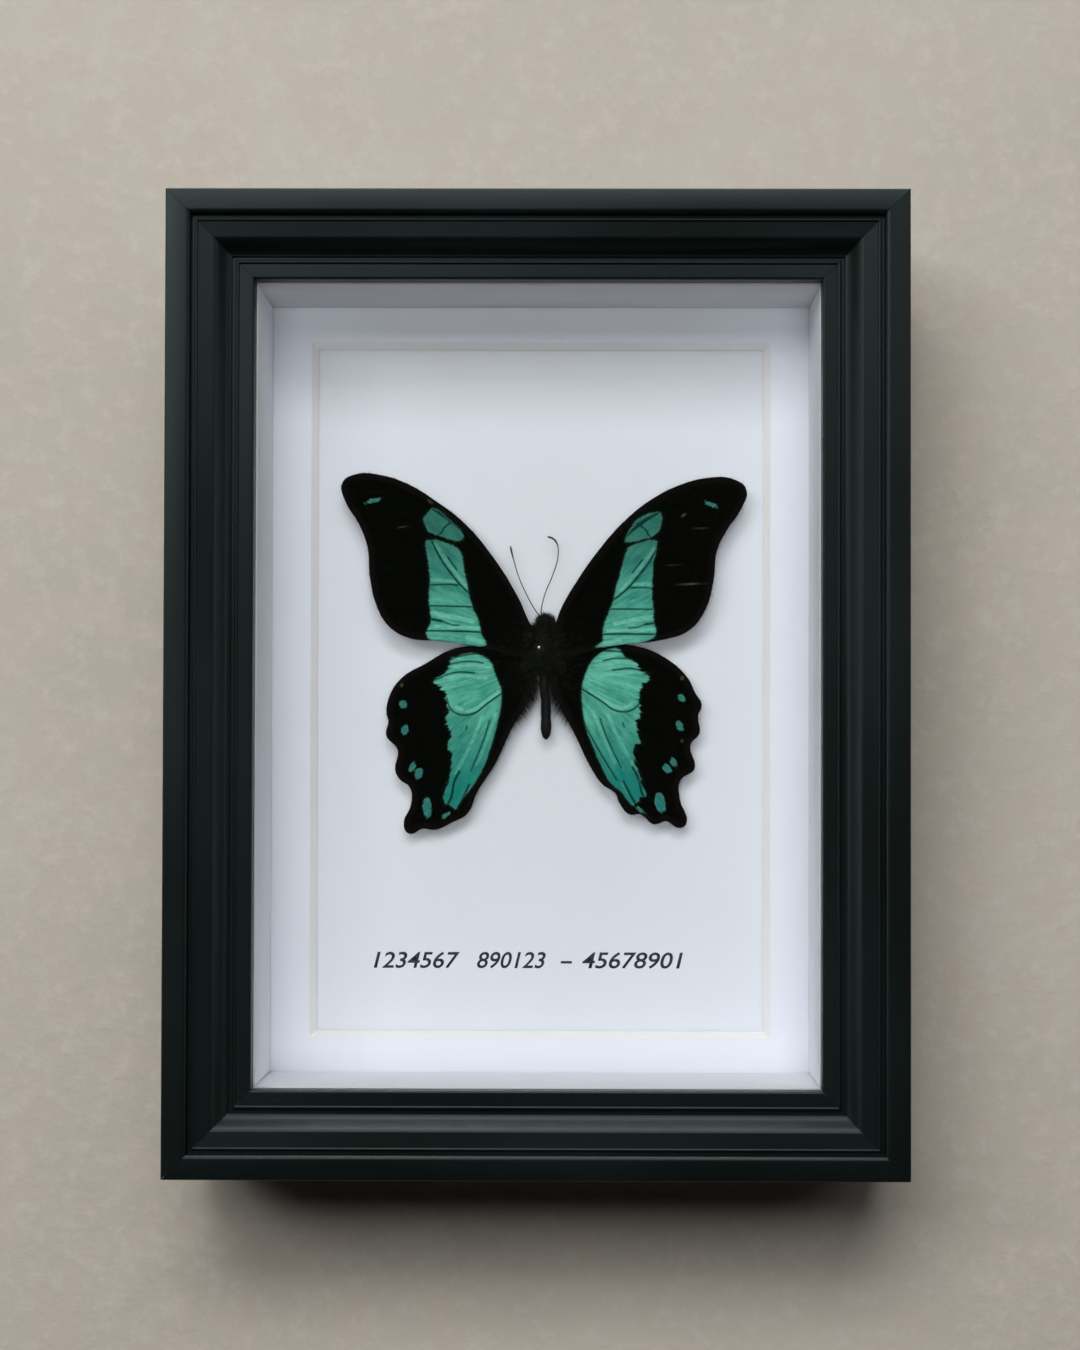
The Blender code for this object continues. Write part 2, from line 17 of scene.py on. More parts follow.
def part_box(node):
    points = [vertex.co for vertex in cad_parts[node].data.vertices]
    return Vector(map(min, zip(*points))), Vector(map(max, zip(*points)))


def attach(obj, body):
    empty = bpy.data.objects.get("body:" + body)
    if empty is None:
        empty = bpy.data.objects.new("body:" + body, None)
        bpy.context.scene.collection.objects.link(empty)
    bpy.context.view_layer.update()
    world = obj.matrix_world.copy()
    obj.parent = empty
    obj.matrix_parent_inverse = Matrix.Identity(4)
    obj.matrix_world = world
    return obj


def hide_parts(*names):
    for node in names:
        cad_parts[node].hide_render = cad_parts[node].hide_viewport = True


bl_info = {
    "name": "Framed Butterfly",
    "version": (1, 0, 0),
    "blender": (4, 5, 0),
    "location": "View3D > Sidebar > Butterfly",
    "description": "Builds and finishes a spread butterfly in a glazed box frame",
    "category": "Object",
}

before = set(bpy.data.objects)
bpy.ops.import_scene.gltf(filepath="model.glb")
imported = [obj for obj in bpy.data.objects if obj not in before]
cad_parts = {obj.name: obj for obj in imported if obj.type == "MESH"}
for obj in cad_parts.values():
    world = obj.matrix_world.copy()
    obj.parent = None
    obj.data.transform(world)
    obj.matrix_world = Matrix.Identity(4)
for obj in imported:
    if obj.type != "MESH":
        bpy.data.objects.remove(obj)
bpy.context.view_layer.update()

MM = 0.001
FRONT_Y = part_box("rail_top")[0].y
BACK_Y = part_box("rail_top")[1].y
OUTER_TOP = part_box("rail_top")[1].z
OUTER_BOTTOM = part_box("rail_bottom")[0].z
OUTER_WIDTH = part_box("rail_right")[1].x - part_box("rail_left")[0].x
OUTER_HEIGHT = OUTER_TOP - OUTER_BOTTOM
CENTRE_Z = (OUTER_TOP + OUTER_BOTTOM) / 2
CARD_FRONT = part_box("mount_card")[0].y
BODY_MIDDLE_Y = (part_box("butterfly_body")[0].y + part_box("butterfly_body")[1].y) / 2


# ---------------------------------------------------------------- colours and nodes


def rgba(hex_colour):
    """An sRGB hex colour as linear RGBA."""
    channels = [int(hex_colour[i : i + 2], 16) / 255 for i in (0, 2, 4)]
    return [c / 12.92 if c <= 0.04045 else ((c + 0.055) / 1.055) ** 2.4 for c in channels] + [1.0]


def add(tree, kind, inputs=None, **settings):
    """Adds a node. An input is a plain value, or another node's output socket to link from."""
    made = tree.nodes.new(kind)
    for name, value in settings.items():
        setattr(made, name, value)
    for socket, value in (inputs or {}).items():
        if isinstance(value, bpy.types.NodeSocket):
            tree.links.new(value, made.inputs[socket])
        else:
            made.inputs[socket].default_value = value
    return made


# The Mix node's colour sockets share their names with its other kinds, so they go by number.
MIX_A, MIX_B, MIX_COLOUR = 6, 7, 2


def start_material(name, **constants):
    """A new material, its tree and its Principled shader, with constants on the shader's sockets."""
    made = bpy.data.materials.new(name)
    made.use_nodes = True
    tree = made.node_tree
    shader = tree.nodes["Principled BSDF"]
    for socket, value in constants.items():
        shader.inputs[socket.replace("_", " ")].default_value = value
    return made, tree, shader


def mottle(tree, scale, detail=3.0, stretch=(1, 1, 1), attribute=None, roughness=0.5):
    """A noise value between 0 and 1, with its scale in features per metre, on the piece itself."""
    if attribute:
        place = add(tree, "ShaderNodeAttribute", attribute_name=attribute).outputs["Vector"]
    else:
        place = add(tree, "ShaderNodeTexCoord").outputs["Object"]
    fitted = add(tree, "ShaderNodeMapping", {"Vector": place, "Scale": stretch})
    inputs = {"Vector": fitted.outputs[0], "Scale": scale, "Detail": detail, "Roughness": roughness}
    return add(tree, "ShaderNodeTexNoise", inputs).outputs["Fac"]


def ramp(tree, value, low, high, from_low=0.3, from_high=0.7):
    """A value turned into a colour between two sRGB colours."""
    made = add(tree, "ShaderNodeValToRGB", {"Fac": value})
    ends = made.color_ramp.elements
    ends[0].position, ends[1].position = from_low, from_high
    ends[0].color, ends[1].color = rgba(low), rgba(high)
    return made.outputs["Color"]


def span(tree, value, from_low, from_high, to_low=0.0, to_high=1.0, smooth=False):
    """A value moved from one range to another and held inside it."""
    kind = "SMOOTHSTEP" if smooth else "LINEAR"
    inputs = {"Value": value, "From Min": from_low, "From Max": from_high}
    inputs |= {"To Min": to_low, "To Max": to_high}
    return add(tree, "ShaderNodeMapRange", inputs, interpolation_type=kind).outputs["Result"]


def blend_colours(tree, share, a, b, how="MIX"):
    inputs = {0: share, MIX_A: a, MIX_B: b}
    return add(tree, "ShaderNodeMix", inputs, data_type="RGBA", blend_type=how).outputs[MIX_COLOUR]


def calculate(tree, operation, a, b=0.0):
    return add(tree, "ShaderNodeMath", {0: a, 1: b}, operation=operation).outputs[0]


def vectors(tree, operation, inputs):
    return add(tree, "ShaderNodeVectorMath", inputs, operation=operation).outputs[0]


def bump(tree, shader, height, distance, strength=1.0):
    made = add(tree, "ShaderNodeBump", {"Height": height, "Distance": distance, "Strength": strength})
    tree.links.new(made.outputs[0], shader.inputs["Normal"])


def feed(tree, shader, **sockets):
    """Links values to the shader's sockets."""
    for socket, value in sockets.items():
        tree.links.new(value, shader.inputs[socket.replace("_", " ")])


# ---------------------------------------------------------------- settings that a user would change


def number(name, description, default):
    return FloatProperty(name=name, description=description, default=default)


def length(name, description, metres):
    return FloatProperty(name=name, description=description, default=metres, unit="LENGTH")


def words(name, description, default):
    return StringProperty(name=name, description=description, default=default)


def colour(name, description, hex_colour):
    return FloatVectorProperty(
        name=name,
        description=description,
        subtype="COLOR",
        size=4,
        min=0,
        max=1,
        default=rgba(hex_colour),
    )


# ---------------------------------------------------------------- finishes


def painted_wood(look):
    """Satin green-black paint, sprayed on a wooden moulding: dark, with soft broad highlights.

    The grain telegraphs through the paint along each rail. The rails' backs are bare pine.
    """
    made, tree, shader = start_material(
        "satin_paint_on_wood", Specular_IOR_Level=0.27, Specular_Tint=rgba("DCF4F4")
    )
    grain = mottle(tree, 900, 5, (0.05, 1, 1), "grain")
    cloud = mottle(tree, 45, 3, (0.4, 1, 1), "grain")
    paint = blend_colours(tree, span(tree, cloud, 0.3, 0.7), look.paint_dark, look.paint_light)
    speck = span(tree, mottle(tree, 2600, 2), 0.71, 0.76)
    paint = blend_colours(tree, calculate(tree, "MULTIPLY", speck, 0.10), paint, rgba("8C908C"))
    ring = mottle(tree, 420, 4, (0.03, 1, 1), "grain", 0.65)
    pine = ramp(tree, ring, "A9814F", "D3B27C")
    normal = add(tree, "ShaderNodeNewGeometry").outputs["True Normal"]
    facing_back = add(tree, "ShaderNodeSeparateXYZ", {0: normal}).outputs["Y"]
    bare = calculate(tree, "GREATER_THAN", facing_back, 0.7)
    feed(tree, shader, Base_Color=blend_colours(tree, bare, paint, pine))
    satin = span(tree, cloud, 0.3, 0.7, look.paint_roughness - 0.04, look.paint_roughness + 0.05)
    rough = calculate(tree, "MAXIMUM", satin, calculate(tree, "MULTIPLY", bare, 0.8))
    feed(tree, shader, Roughness=rough)
    bump(tree, shader, grain, 0.00001, 0.25)
    return made


def clear_glass():
    """Picture glass: clear float glass, almost colourless. It lets the lamps' light through."""
    clear = {"Base_Color": rgba("FEFFFF"), "Roughness": 0.0, "IOR": 1.5, "Transmission_Weight": 1.0}
    made, tree, shader = start_material("clear_float_glass", **clear)
    open_pane = add(tree, "ShaderNodeBsdfTransparent", {"Color": rgba("FCFEFD")})
    path = add(tree, "ShaderNodeLightPath")
    lit = calculate(tree, "MAXIMUM", path.outputs["Is Shadow Ray"], path.outputs["Is Diffuse Ray"])
    mixed = add(tree, "ShaderNodeMixShader", {0: lit, 1: shader.outputs[0], 2: open_pane.outputs[0]})
    tree.links.new(mixed.outputs[0], tree.nodes["Material Output"].inputs["Surface"])
    return made


def paper(name, colour, core=None):
    """Matt paper or board: smooth pressed fibre with a faint tooth. Cut edges show the core."""
    made, tree, shader = start_material(name, Roughness=0.9, Specular_IOR_Level=0.25)
    fibre = mottle(tree, 5200, 4, roughness=0.65)
    cloud = mottle(tree, 60, 3)
    tooth = span(tree, fibre, 0.3, 0.7, 0.975, 1.0)
    shade = calculate(tree, "ADD", tooth, span(tree, cloud, 0.3, 0.7, -0.012, 0.0))
    grey = add(tree, "ShaderNodeCombineXYZ", {0: shade, 1: shade, 2: shade}).outputs[0]
    face = blend_colours(tree, 1.0, colour, grey, "MULTIPLY")
    if core:
        normal = add(tree, "ShaderNodeNewGeometry").outputs["True Normal"]
        facing = add(tree, "ShaderNodeSeparateXYZ", {0: normal}).outputs["Y"]
        cut = calculate(tree, "LESS_THAN", calculate(tree, "ABSOLUTE", facing), 0.9)
        face = blend_colours(tree, cut, face, core)
    feed(tree, shader, Base_Color=face)
    bump(tree, shader, fibre, 0.00001, 0.4)
    return made


def hardboard():
    """Pressed brown fibreboard: matt, flecked with darker fibres."""
    made, tree, shader = start_material("brown_hardboard", Specular_IOR_Level=0.3)
    fibre = mottle(tree, 1500, 6, (1, 1, 0.45), roughness=0.7)
    cloud = mottle(tree, 70, 4)
    base = ramp(tree, fibre, "4E3421", "8A6543")
    clouded = blend_colours(tree, span(tree, cloud, 0.35, 0.7, 0.0, 0.35), base, rgba("5C4029"))
    feed(tree, shader, Base_Color=clouded)
    feed(tree, shader, Roughness=span(tree, fibre, 0.3, 0.7, 0.55, 0.8))
    bump(tree, shader, fibre, 0.00008, 0.7)
    return made


def plated_steel(name, dull, bright, roughness):
    """Rolled sheet steel with a thin plating: fine rolling lines and a few duller spots."""
    made, tree, shader = start_material(name, Metallic=1.0)
    lines = mottle(tree, 3000, 3, (0.05, 1, 1))
    cloud = mottle(tree, 400, 4)
    feed(tree, shader, Base_Color=ramp(tree, cloud, dull, bright))
    rough = calculate(tree, "ADD", span(tree, lines, 0.3, 0.7, -0.05, 0.08), roughness)
    feed(tree, shader, Roughness=rough)
    bump(tree, shader, lines, 0.00001, 0.5)
    return made


def printing_ink():
    """Letterpress ink on card: dark grey, a little uneven where the card shows through."""
    made, tree, shader = start_material("printing_ink", Roughness=0.7, Specular_IOR_Level=0.3)
    feed(tree, shader, Base_Color=ramp(tree, mottle(tree, 2500, 3), "15171C", "35383F"))
    return made


def wing_scales(look):
    """Overlapping wing scales: a black velvet ground with matt sea-green fields, streaked along the wing.

    The mesh carries how deep each point lies in a green field or a spot, and its distance from the
    nearest dark vein, painted pleat highlight and margin, all in millimetres. The streaks follow the
    lines out from the root. The fields also carry painted light and shade by height.
    """
    made, tree, shader = start_material("wing_scales", Specular_IOR_Level=0.0)

    def carried(name):
        return add(tree, "ShaderNodeAttribute", attribute_name=name).outputs["Fac"]

    def product(a, b):
        return calculate(tree, "MULTIPLY", a, b)

    def total(a, b):
        return calculate(tree, "ADD", a, b)

    field, spot, glow = carried("field"), carried("spot"), carried("glow")
    streak = mottle(tree, 1.5, 3, (1, 1, 1), "flow", 0.55)
    fine = mottle(tree, 5.0, 3, (1, 1.2, 1), "flow", 0.6)
    cloud = mottle(tree, 260, 3)
    dust = mottle(tree, 7000, 2)
    # Black ground: cool in the middle, browner where the scales thin out along the margin.
    ground = blend_colours(tree, span(tree, fine, 0.35, 0.7), look.wing_black, look.wing_brown)
    near_edge = product(span(tree, carried("margin"), 0.1, 1.8, 1.0, 0.0), 0.8)
    ground = blend_colours(tree, near_edge, ground, look.wing_edge)
    # Green fields with painted light and shade by height: bluer and deeper where the painted light is low,
    # paler where it is high.
    deep = blend_colours(tree, glow, look.green_deep, look.green_mid)
    pale = blend_colours(tree, glow, look.green_mid, look.green_pale)
    tone = total(product(streak, 1.1), total(product(fine, 0.6), product(cloud, 0.8)))
    green = blend_colours(tree, span(tree, tone, 0.98, 1.5), deep, pale)
    scattered = product(span(tree, dust, 0.60, 0.68), 0.2)
    green = blend_colours(tree, scattered, green, look.green_deep)
    # Painted highlights: pale streaks beside the pleats, where the pleats catch the light.
    broken = span(tree, fine, 0.35, 0.6, 0.2, 1.0)
    bright = product(span(tree, carried("ridge"), 0.0, 0.45, 0.7, 0.0, smooth=True), broken)
    green = blend_colours(tree, bright, green, look.ridge)
    # Painted shade: the green turns greyer high on the forewings, standing in for the shade there.
    green = blend_colours(tree, carried("dull"), green, look.green_dull)
    green = blend_colours(tree, carried("cool"), green, look.green_cool)
    near_vein = span(tree, carried("vein"), 0.0, 0.28, 0.95, 0.0, smooth=True)
    dark = product(near_vein, span(tree, fine, 0.3, 0.5, 0.6, 1.0))
    green = blend_colours(tree, dark, green, look.vein_shade)
    # The field's rim frays into single greyish scales, in fingers along the wing where it is ragged.
    fingers = product(calculate(tree, "SUBTRACT", streak, 0.5), product(carried("ragged"), 5.0))
    fray = total(fingers, product(calculate(tree, "SUBTRACT", fine, 0.5), 1.0))
    frayed = total(field, fray)
    green = blend_colours(tree, span(tree, frayed, 0.1, 0.5, 0.6, 0.0), green, look.fringe)
    colour = blend_colours(tree, span(tree, frayed, -0.7, 0.1, 0.0, 0.6), ground, look.green_shade)
    colour = blend_colours(tree, span(tree, frayed, -0.05, 0.2), colour, green)
    inner = span(tree, total(spot, product(calculate(tree, "SUBTRACT", streak, 0.5), 2.0)), 0.1, 0.5)
    blue = blend_colours(tree, inner, look.fringe, look.spot_blue)
    blue = blend_colours(tree, span(tree, fine, 0.45, 0.62, 0.0, 0.8), blue, look.green_mid)
    spot_edge = total(spot, product(calculate(tree, "SUBTRACT", fine, 0.5), 1.6))
    colour = blend_colours(tree, span(tree, spot_edge, -0.3, 0.0, 0.0, 0.5), colour, look.green_shade)
    colour = blend_colours(tree, span(tree, spot_edge, -0.06, 0.2, 0.0, 0.9), colour, blue)
    rubbed = product(span(tree, carried("worn"), -0.2, 0.25), span(tree, streak, 0.3, 0.6, 0.1, 0.5))
    colour = blend_colours(tree, rubbed, colour, look.worn_membrane)
    feed(tree, shader, Base_Color=colour)
    feed(tree, shader, Roughness=span(tree, fine, 0.3, 0.7, 0.5, 0.75))
    relief = total(product(fine, 0.8), product(dust, 0.3))
    bump(tree, shader, relief, 0.00006, 0.6)
    return made


def fuzz(name, dark, light, tip):
    """Insect hair: fine, dark and a little silky, with a few paler hairs among the rest."""
    made, tree, shader = start_material(name, Roughness=0.6, Specular_IOR_Level=0.06)
    tone = add(tree, "ShaderNodeAttribute", attribute_name="tone").outputs["Fac"]
    base = blend_colours(tree, span(tree, tone, 0.1, 0.8), dark, light)
    tipped = blend_colours(tree, span(tree, tone, 0.86, 0.98, 0.0, 0.8), base, tip)
    feed(tree, shader, Base_Color=tipped)
    return made


def chitin():
    """The insect's skin: dark horn-like chitin, satin, with fine pits."""
    made, tree, shader = start_material("body_chitin", Specular_IOR_Level=0.12)
    pits = mottle(tree, 2500, 4)
    feed(tree, shader, Base_Color=ramp(tree, pits, "040404", "0B0A0A"))
    feed(tree, shader, Roughness=span(tree, pits, 0.3, 0.7, 0.45, 0.65))
    bump(tree, shader, pits, 0.00004, 0.8)
    return made


def plastered_wall(look):
    """A plastered wall with faint patches. From behind it is open, so the back can be viewed."""
    made, tree, shader = start_material("pale_wall", Roughness=0.95, Specular_IOR_Level=0.1)
    cloud = mottle(tree, 9, 5, roughness=0.55)
    patch = mottle(tree, 70, 5, roughness=0.7)
    trowelled = mottle(tree, 260, 6, roughness=0.65)
    plaster = blend_colours(tree, span(tree, cloud, 0.35, 0.65), look.wall, look.wall_shade)
    plaster = blend_colours(tree, span(tree, patch, 0.45, 0.6), plaster, look.wall_warm)
    plaster = blend_colours(tree, span(tree, trowelled, 0.5, 0.66, 0.0, 0.5), plaster, look.wall_pale)
    feed(tree, shader, Base_Color=plaster)
    bump(tree, shader, trowelled, 0.0006, 0.5)
    behind = add(tree, "ShaderNodeNewGeometry").outputs["Backfacing"]
    clear = add(tree, "ShaderNodeBsdfTransparent")
    mixed = add(tree, "ShaderNodeMixShader", {0: behind, 1: shader.outputs[0], 2: clear.outputs[0]})
    tree.links.new(mixed.outputs[0], tree.nodes["Material Output"].inputs["Surface"])
    return made


def plain_floor():
    made, tree, shader = start_material("pale_floor", Roughness=0.8)
    feed(tree, shader, Base_Color=ramp(tree, mottle(tree, 4, 4), "C9C4BC", "D2CEC7"))
    return made


# ---------------------------------------------------------------- making pieces


def put(name, data):
    """A new object in the scene."""
    made = bpy.data.objects.new(name, data)
    bpy.context.scene.collection.objects.link(made)
    return made


def settle(holder):
    """A passing object's shape after its modifiers, as a plain mesh. The object goes."""
    graph = bpy.context.evaluated_depsgraph_get()
    made = bpy.data.meshes.new_from_object(holder.evaluated_get(graph))
    bpy.data.objects.remove(holder)
    return made


def finish_piece(name, mesh, nodes=(), materials=(), sharp=None):
    """Puts a finished mesh in the scene, riding on the frame in place of its CAD nodes."""
    made = put(name, mesh)
    for material in materials:
        mesh.materials.append(material)
    if sharp is not None:
        mesh.shade_smooth()
        mesh.set_sharp_from_angle(angle=math.radians(sharp))
    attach(made, "root")
    if nodes:
        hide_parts(*nodes)
    return made


def evaluated(mesh, name, kind, **settings):
    """A mesh after one modifier."""
    holder = put(name, mesh)
    step = holder.modifiers.new(name, kind)
    for setting, value in settings.items():
        setattr(step, setting, value)
    return settle(holder)


def grow(tree, mesh, **values):
    """Runs a Geometry Nodes tree on a mesh, with its named inputs, and returns a plain mesh."""
    holder = put(tree.name, mesh)
    step = holder.modifiers.new(tree.name, "NODES")
    step.node_group = tree
    for socket in tree.interface.items_tree:
        wanted = socket.name.replace(" ", "_").lower()
        if socket.in_out == "INPUT" and wanted in values:
            step[socket.identifier] = values[wanted]
    return settle(holder)


def new_tree(name, *inputs):
    """A Geometry Nodes tree with named inputs, and its group input node."""
    tree = bpy.data.node_groups.new(name, "GeometryNodeTree")
    tree.interface.new_socket("Geometry", in_out="OUTPUT", socket_type="NodeSocketGeometry")
    tree.interface.new_socket("Geometry", in_out="INPUT", socket_type="NodeSocketGeometry")
    for label, kind, default in inputs:
        socket = tree.interface.new_socket(label, in_out="INPUT", socket_type="NodeSocket" + kind)
        if default is not None:
            socket.default_value = default
    return tree, add(tree, "NodeGroupInput").outputs


def close_tree(tree, geometry):
    """Ends a tree: its instances are made real before they leave it."""
    real = add(tree, "GeometryNodeRealizeInstances", {"Geometry": geometry})
    add(tree, "NodeGroupOutput", {"Geometry": real.outputs[0]})
    return tree


def curve_mesh(name, lines, thickness, sides=3):
    """Round rods along smooth lines. A line is a list of (point, relative thickness)."""
    data = bpy.data.curves.new(name, "CURVE")
    data.dimensions = "3D"
    data.bevel_depth = thickness
    data.bevel_resolution = sides
    data.use_fill_caps = True
    for line in lines:
        spline = data.splines.new("POLY")
        spline.points.add(len(line) - 1)
        for knot, (place, share) in zip(spline.points, line):
            knot.co = (*place, 1)
            knot.radius = share
    made = settle(put(name, data))
    bpy.data.curves.remove(data)
    weld(made)
    return made


def weld(mesh, distance=1e-7):
    shape = bmesh.new()
    shape.from_mesh(mesh)
    bmesh.ops.remove_doubles(shape, verts=shape.verts, dist=distance)
    bmesh.ops.recalc_face_normals(shape, faces=shape.faces)
    shape.to_mesh(mesh)
    shape.free()


def join_meshes(name, meshes):
    shape = bmesh.new()
    for mesh in meshes:
        shape.from_mesh(mesh)
    made = bpy.data.meshes.new(name)
    shape.to_mesh(made)
    shape.free()
    return made


def points_of(mesh):
    """The mesh's points as an array of x, y, z."""
    flat = np.zeros(len(mesh.vertices) * 3, np.float32)
    mesh.vertices.foreach_get("co", flat)
    return flat.reshape(-1, 3).astype(float)


def plane_places(mesh):
    """The mesh's points as an array of x, z in millimetres from the frame's middle."""
    points = points_of(mesh)
    return np.stack((points[:, 0] / MM, (points[:, 2] - CENTRE_Z) / MM), axis=1)


def set_attribute(mesh, name, values):
    """Stores one number, or a vector, for each point of a mesh."""
    values = np.asarray(values, np.float32)
    vector = values.ndim == 2
    made = mesh.attributes.new(name, "FLOAT_VECTOR" if vector else "FLOAT", "POINT")
    made.data.foreach_set("vector" if vector else "value", values.ravel())


# ---------------------------------------------------------------- lines in the wing's plane


def smooth_line(points, step, closed=False):
    """A smooth line through points, with a point about every step."""
    points = [np.array(p, float) for p in points]
    count = len(points)
    last = count if closed else count - 1
    line = []
    for index in range(last):
        if closed:
            before, here, there, after = (points[(index + k) % count] for k in (-1, 0, 1, 2))
        else:
            before, after = points[max(index - 1, 0)], points[min(index + 2, count - 1)]
            here, there = points[index], points[index + 1]
        pieces = max(1, math.ceil(np.linalg.norm(there - here) / step))
        for piece in range(pieces):
            t = piece / pieces
            square = (2 * before - 5 * here + 4 * there - after) * t * t
            cube = (3 * here - before - 3 * there + after) * t**3
            line.append((2 * here + (there - before) * t + (square + cube)) / 2)
    if not closed:
        line.append(points[-1])
    return np.array(line)


def distance_to_line(places, line, closed=False):
    """How far each place is from a line, and where along the line the nearest point lies, from 0 to 1."""
    ends = np.roll(line, -1, axis=0) if closed else line[1:]
    starts = line if closed else line[:-1]
    nearest = np.full(len(places), FAR)
    along = np.zeros(len(places))
    for index, (a, b) in enumerate(zip(starts, ends)):
        run = b - a
        share = np.clip(((places - a) @ run) / max(run @ run, 1e-12), 0, 1)
        away = np.linalg.norm(places - a - share[:, None] * run, axis=1)
        closer = away < nearest
        nearest[closer] = away[closer]
        along[closer] = (index + share[closer]) / len(starts)
    return nearest, along


def inside(places, outline):
    """Whether each place lies inside a closed outline."""
    odd = np.zeros(len(places), bool)
    for a, b in zip(outline, np.roll(outline, -1, axis=0)):
        crosses = (a[1] > places[:, 1]) != (b[1] > places[:, 1])
        slope = (b[0] - a[0]) / (b[1] - a[1]) if b[1] != a[1] else 0.0
        odd ^= crosses & (places[:, 0] < a[0] + (places[:, 1] - a[1]) * slope)
    return odd


def depth_in(places, outline):
    """How deep each place lies inside an outline: below zero outside it."""
    away = distance_to_line(places, outline, closed=True)[0]
    return np.where(inside(places, outline), away, -away)


# ---------------------------------------------------------------- the moulding


class MouldingSizes(bpy.types.PropertyGroup):
    """The moulding's section: widths from its outer side, depths behind the front of its rim."""

    rim: length("Rim", "Width of the flat rim", 4.2 * MM)
    rim_round: length("Rim Round", "Round inside the rim", 1.0 * MM)
    corner: length("Outer Corner", "Round outside the rim", 0.4 * MM)
    quirk: length("Quirk Width", "Step beside the rim", 0.7 * MM)
    quirk_depth: length("Quirk Depth", "Depth of the step", 1.7 * MM)
    bead: length("Bead Radius", "Small bead", 0.35 * MM)
    bead_depth: length("Bead Depth", "Depth of the bead", 1.5 * MM)
    face_end: length("Face End", "Where the ogee starts", 9.5 * MM)
    face_fall: length("Face Fall", "Face below the bead", 0.35 * MM)
    ogee_end: length("Ogee End", "Where the ogee ends", 13.0 * MM)
    ogee_fall: length("Ogee Fall", "Height of the ogee", 3.3 * MM)
    groove: length("Groove", "Width of the groove", 0.9 * MM)
    groove_depth: length("Groove Depth", "Groove's floor", 5.7 * MM)
    inner_bead: length("Inner Bead", "Bead on the lip", 0.4 * MM)
    lip_depth: length("Lip Depth", "Front of the lip", 5.1 * MM)
    edge_round: length("Sight Edge", "Round at the sight", 0.5 * MM)
    lip_thickness: length("Lip Thickness", "Lip over glass", 3.5 * MM)
    face: length("Face", "Full width of the moulding", 17.8 * MM)
    rabbet: length("Rabbet", "Cover over the glass", 5.0 * MM)
    mitre_gap: length("Mitre Gap", "Half the mitre's seam", 0.03 * MM)


def arc(centre_in, centre_back, radius, start, end, steps):
    """Points on an arc of the section, from one angle to another, in degrees from the inward side."""
    points = []
    for step in range(steps + 1):
        angle = math.radians(start + (end - start) * step / steps)
        points.append((centre_in + radius * math.cos(angle), centre_back - radius * math.sin(angle)))
    return points


def moulding_section(m):
    """The section as (in from the outer side, back from the front), from the outer side round."""
    quirk = m.rim + m.rim_round
    bead = quirk + m.quirk
    groove_end = m.ogee_end + m.groove
    shoulder = m.lip_depth + m.lip_thickness
    depth = BACK_Y - FRONT_Y
    points = arc(m.corner, m.corner, m.corner, 180, 90, 6)
    points += arc(m.rim, m.rim_round, m.rim_round, 90, 0, 12)
    points += [(quirk, m.quirk_depth), (bead, m.quirk_depth)]
    points += arc(bead + m.bead, m.bead_depth, m.bead, 180, 0, 14)
    face_depth = m.bead_depth + m.face_fall
    for step in range(25):
        share = step / 24
        fall = m.ogee_fall * (1 - math.cos(math.pi * share)) / 2
        points.append((m.face_end + (m.ogee_end - m.face_end) * share, face_depth + fall))
    points += [(m.ogee_end, m.groove_depth), (groove_end, m.groove_depth)]
    points += arc(groove_end + m.inner_bead, m.lip_depth, m.inner_bead, 180, 0, 14)
    points += arc(m.face - m.edge_round, m.lip_depth + m.edge_round, m.edge_round, 90, 0, 8)
    points += [(m.face, shoulder), (m.face - m.rabbet, shoulder), (m.face - m.rabbet, depth), (0.0, depth)]
    return points


def rail_tree():
    """Sweeps a section along one side of the frame, mitres both ends and turns it to its side."""
    tree, given = new_tree(
        "mitred_rail",
        ("Length", "Float", 0.2),
        ("Reach", "Float", 0.1),
        ("Mitre Gap", "Float", 0.0),
        ("Turn", "Vector", (0, 0, 0)),
        ("Centre", "Vector", (0, 0, 0)),
        ("Finish", "Material", None),
    )
    half = calculate(tree, "MULTIPLY", given["Length"], 0.5)
    start = add(tree, "ShaderNodeCombineXYZ", {"X": calculate(tree, "MULTIPLY", half, -1.0)})
    end = add(tree, "ShaderNodeCombineXYZ", {"X": half})
    path = add(tree, "GeometryNodeCurvePrimitiveLine", {"Start": start.outputs[0], "End": end.outputs[0]})
    section = add(tree, "GeometryNodeMeshToCurve", {"Mesh": given["Geometry"]})
    sweep = {"Curve": path.outputs[0], "Profile Curve": section.outputs[0], "Fill Caps": True}
    swept = add(tree, "GeometryNodeCurveToMesh", sweep)
    # The sweep stands the section up with Z running in from the outer side, so Z sets the mitre.
    place = add(tree, "GeometryNodeInputPosition").outputs[0]
    parts = add(tree, "ShaderNodeSeparateXYZ", {0: place}).outputs
    cut_back = calculate(tree, "ADD", parts["Z"], given["Mitre Gap"])
    kept = calculate(tree, "SUBTRACT", 1.0, calculate(tree, "DIVIDE", cut_back, half))
    along = calculate(tree, "MULTIPLY", parts["X"], kept)
    mitred = add(tree, "ShaderNodeCombineXYZ", {"X": along, "Y": parts["Y"], "Z": parts["Z"]})
    cut = add(tree, "GeometryNodeSetPosition", {"Geometry": swept.outputs[0], "Position": mitred.outputs[0]})
    grain = add(
        tree,
        "GeometryNodeStoreNamedAttribute",
        {"Geometry": cut.outputs[0], "Name": "grain", "Value": place},
        data_type="FLOAT_VECTOR",
    )
    drop = add(tree, "ShaderNodeCombineXYZ", {"Z": calculate(tree, "MULTIPLY", given["Reach"], -1.0)})
    lower = {"Geometry": grain.outputs[0], "Translation": drop.outputs[0]}
    lowered = add(tree, "GeometryNodeTransform", lower).outputs[0]
    turn = {"Geometry": lowered, "Rotation": given["Turn"], "Translation": given["Centre"]}
    turned = add(tree, "GeometryNodeTransform", turn).outputs[0]
    painted = add(tree, "GeometryNodeSetMaterial", {"Geometry": turned, "Material": given["Finish"]})
    return close_tree(tree, painted.outputs[0])


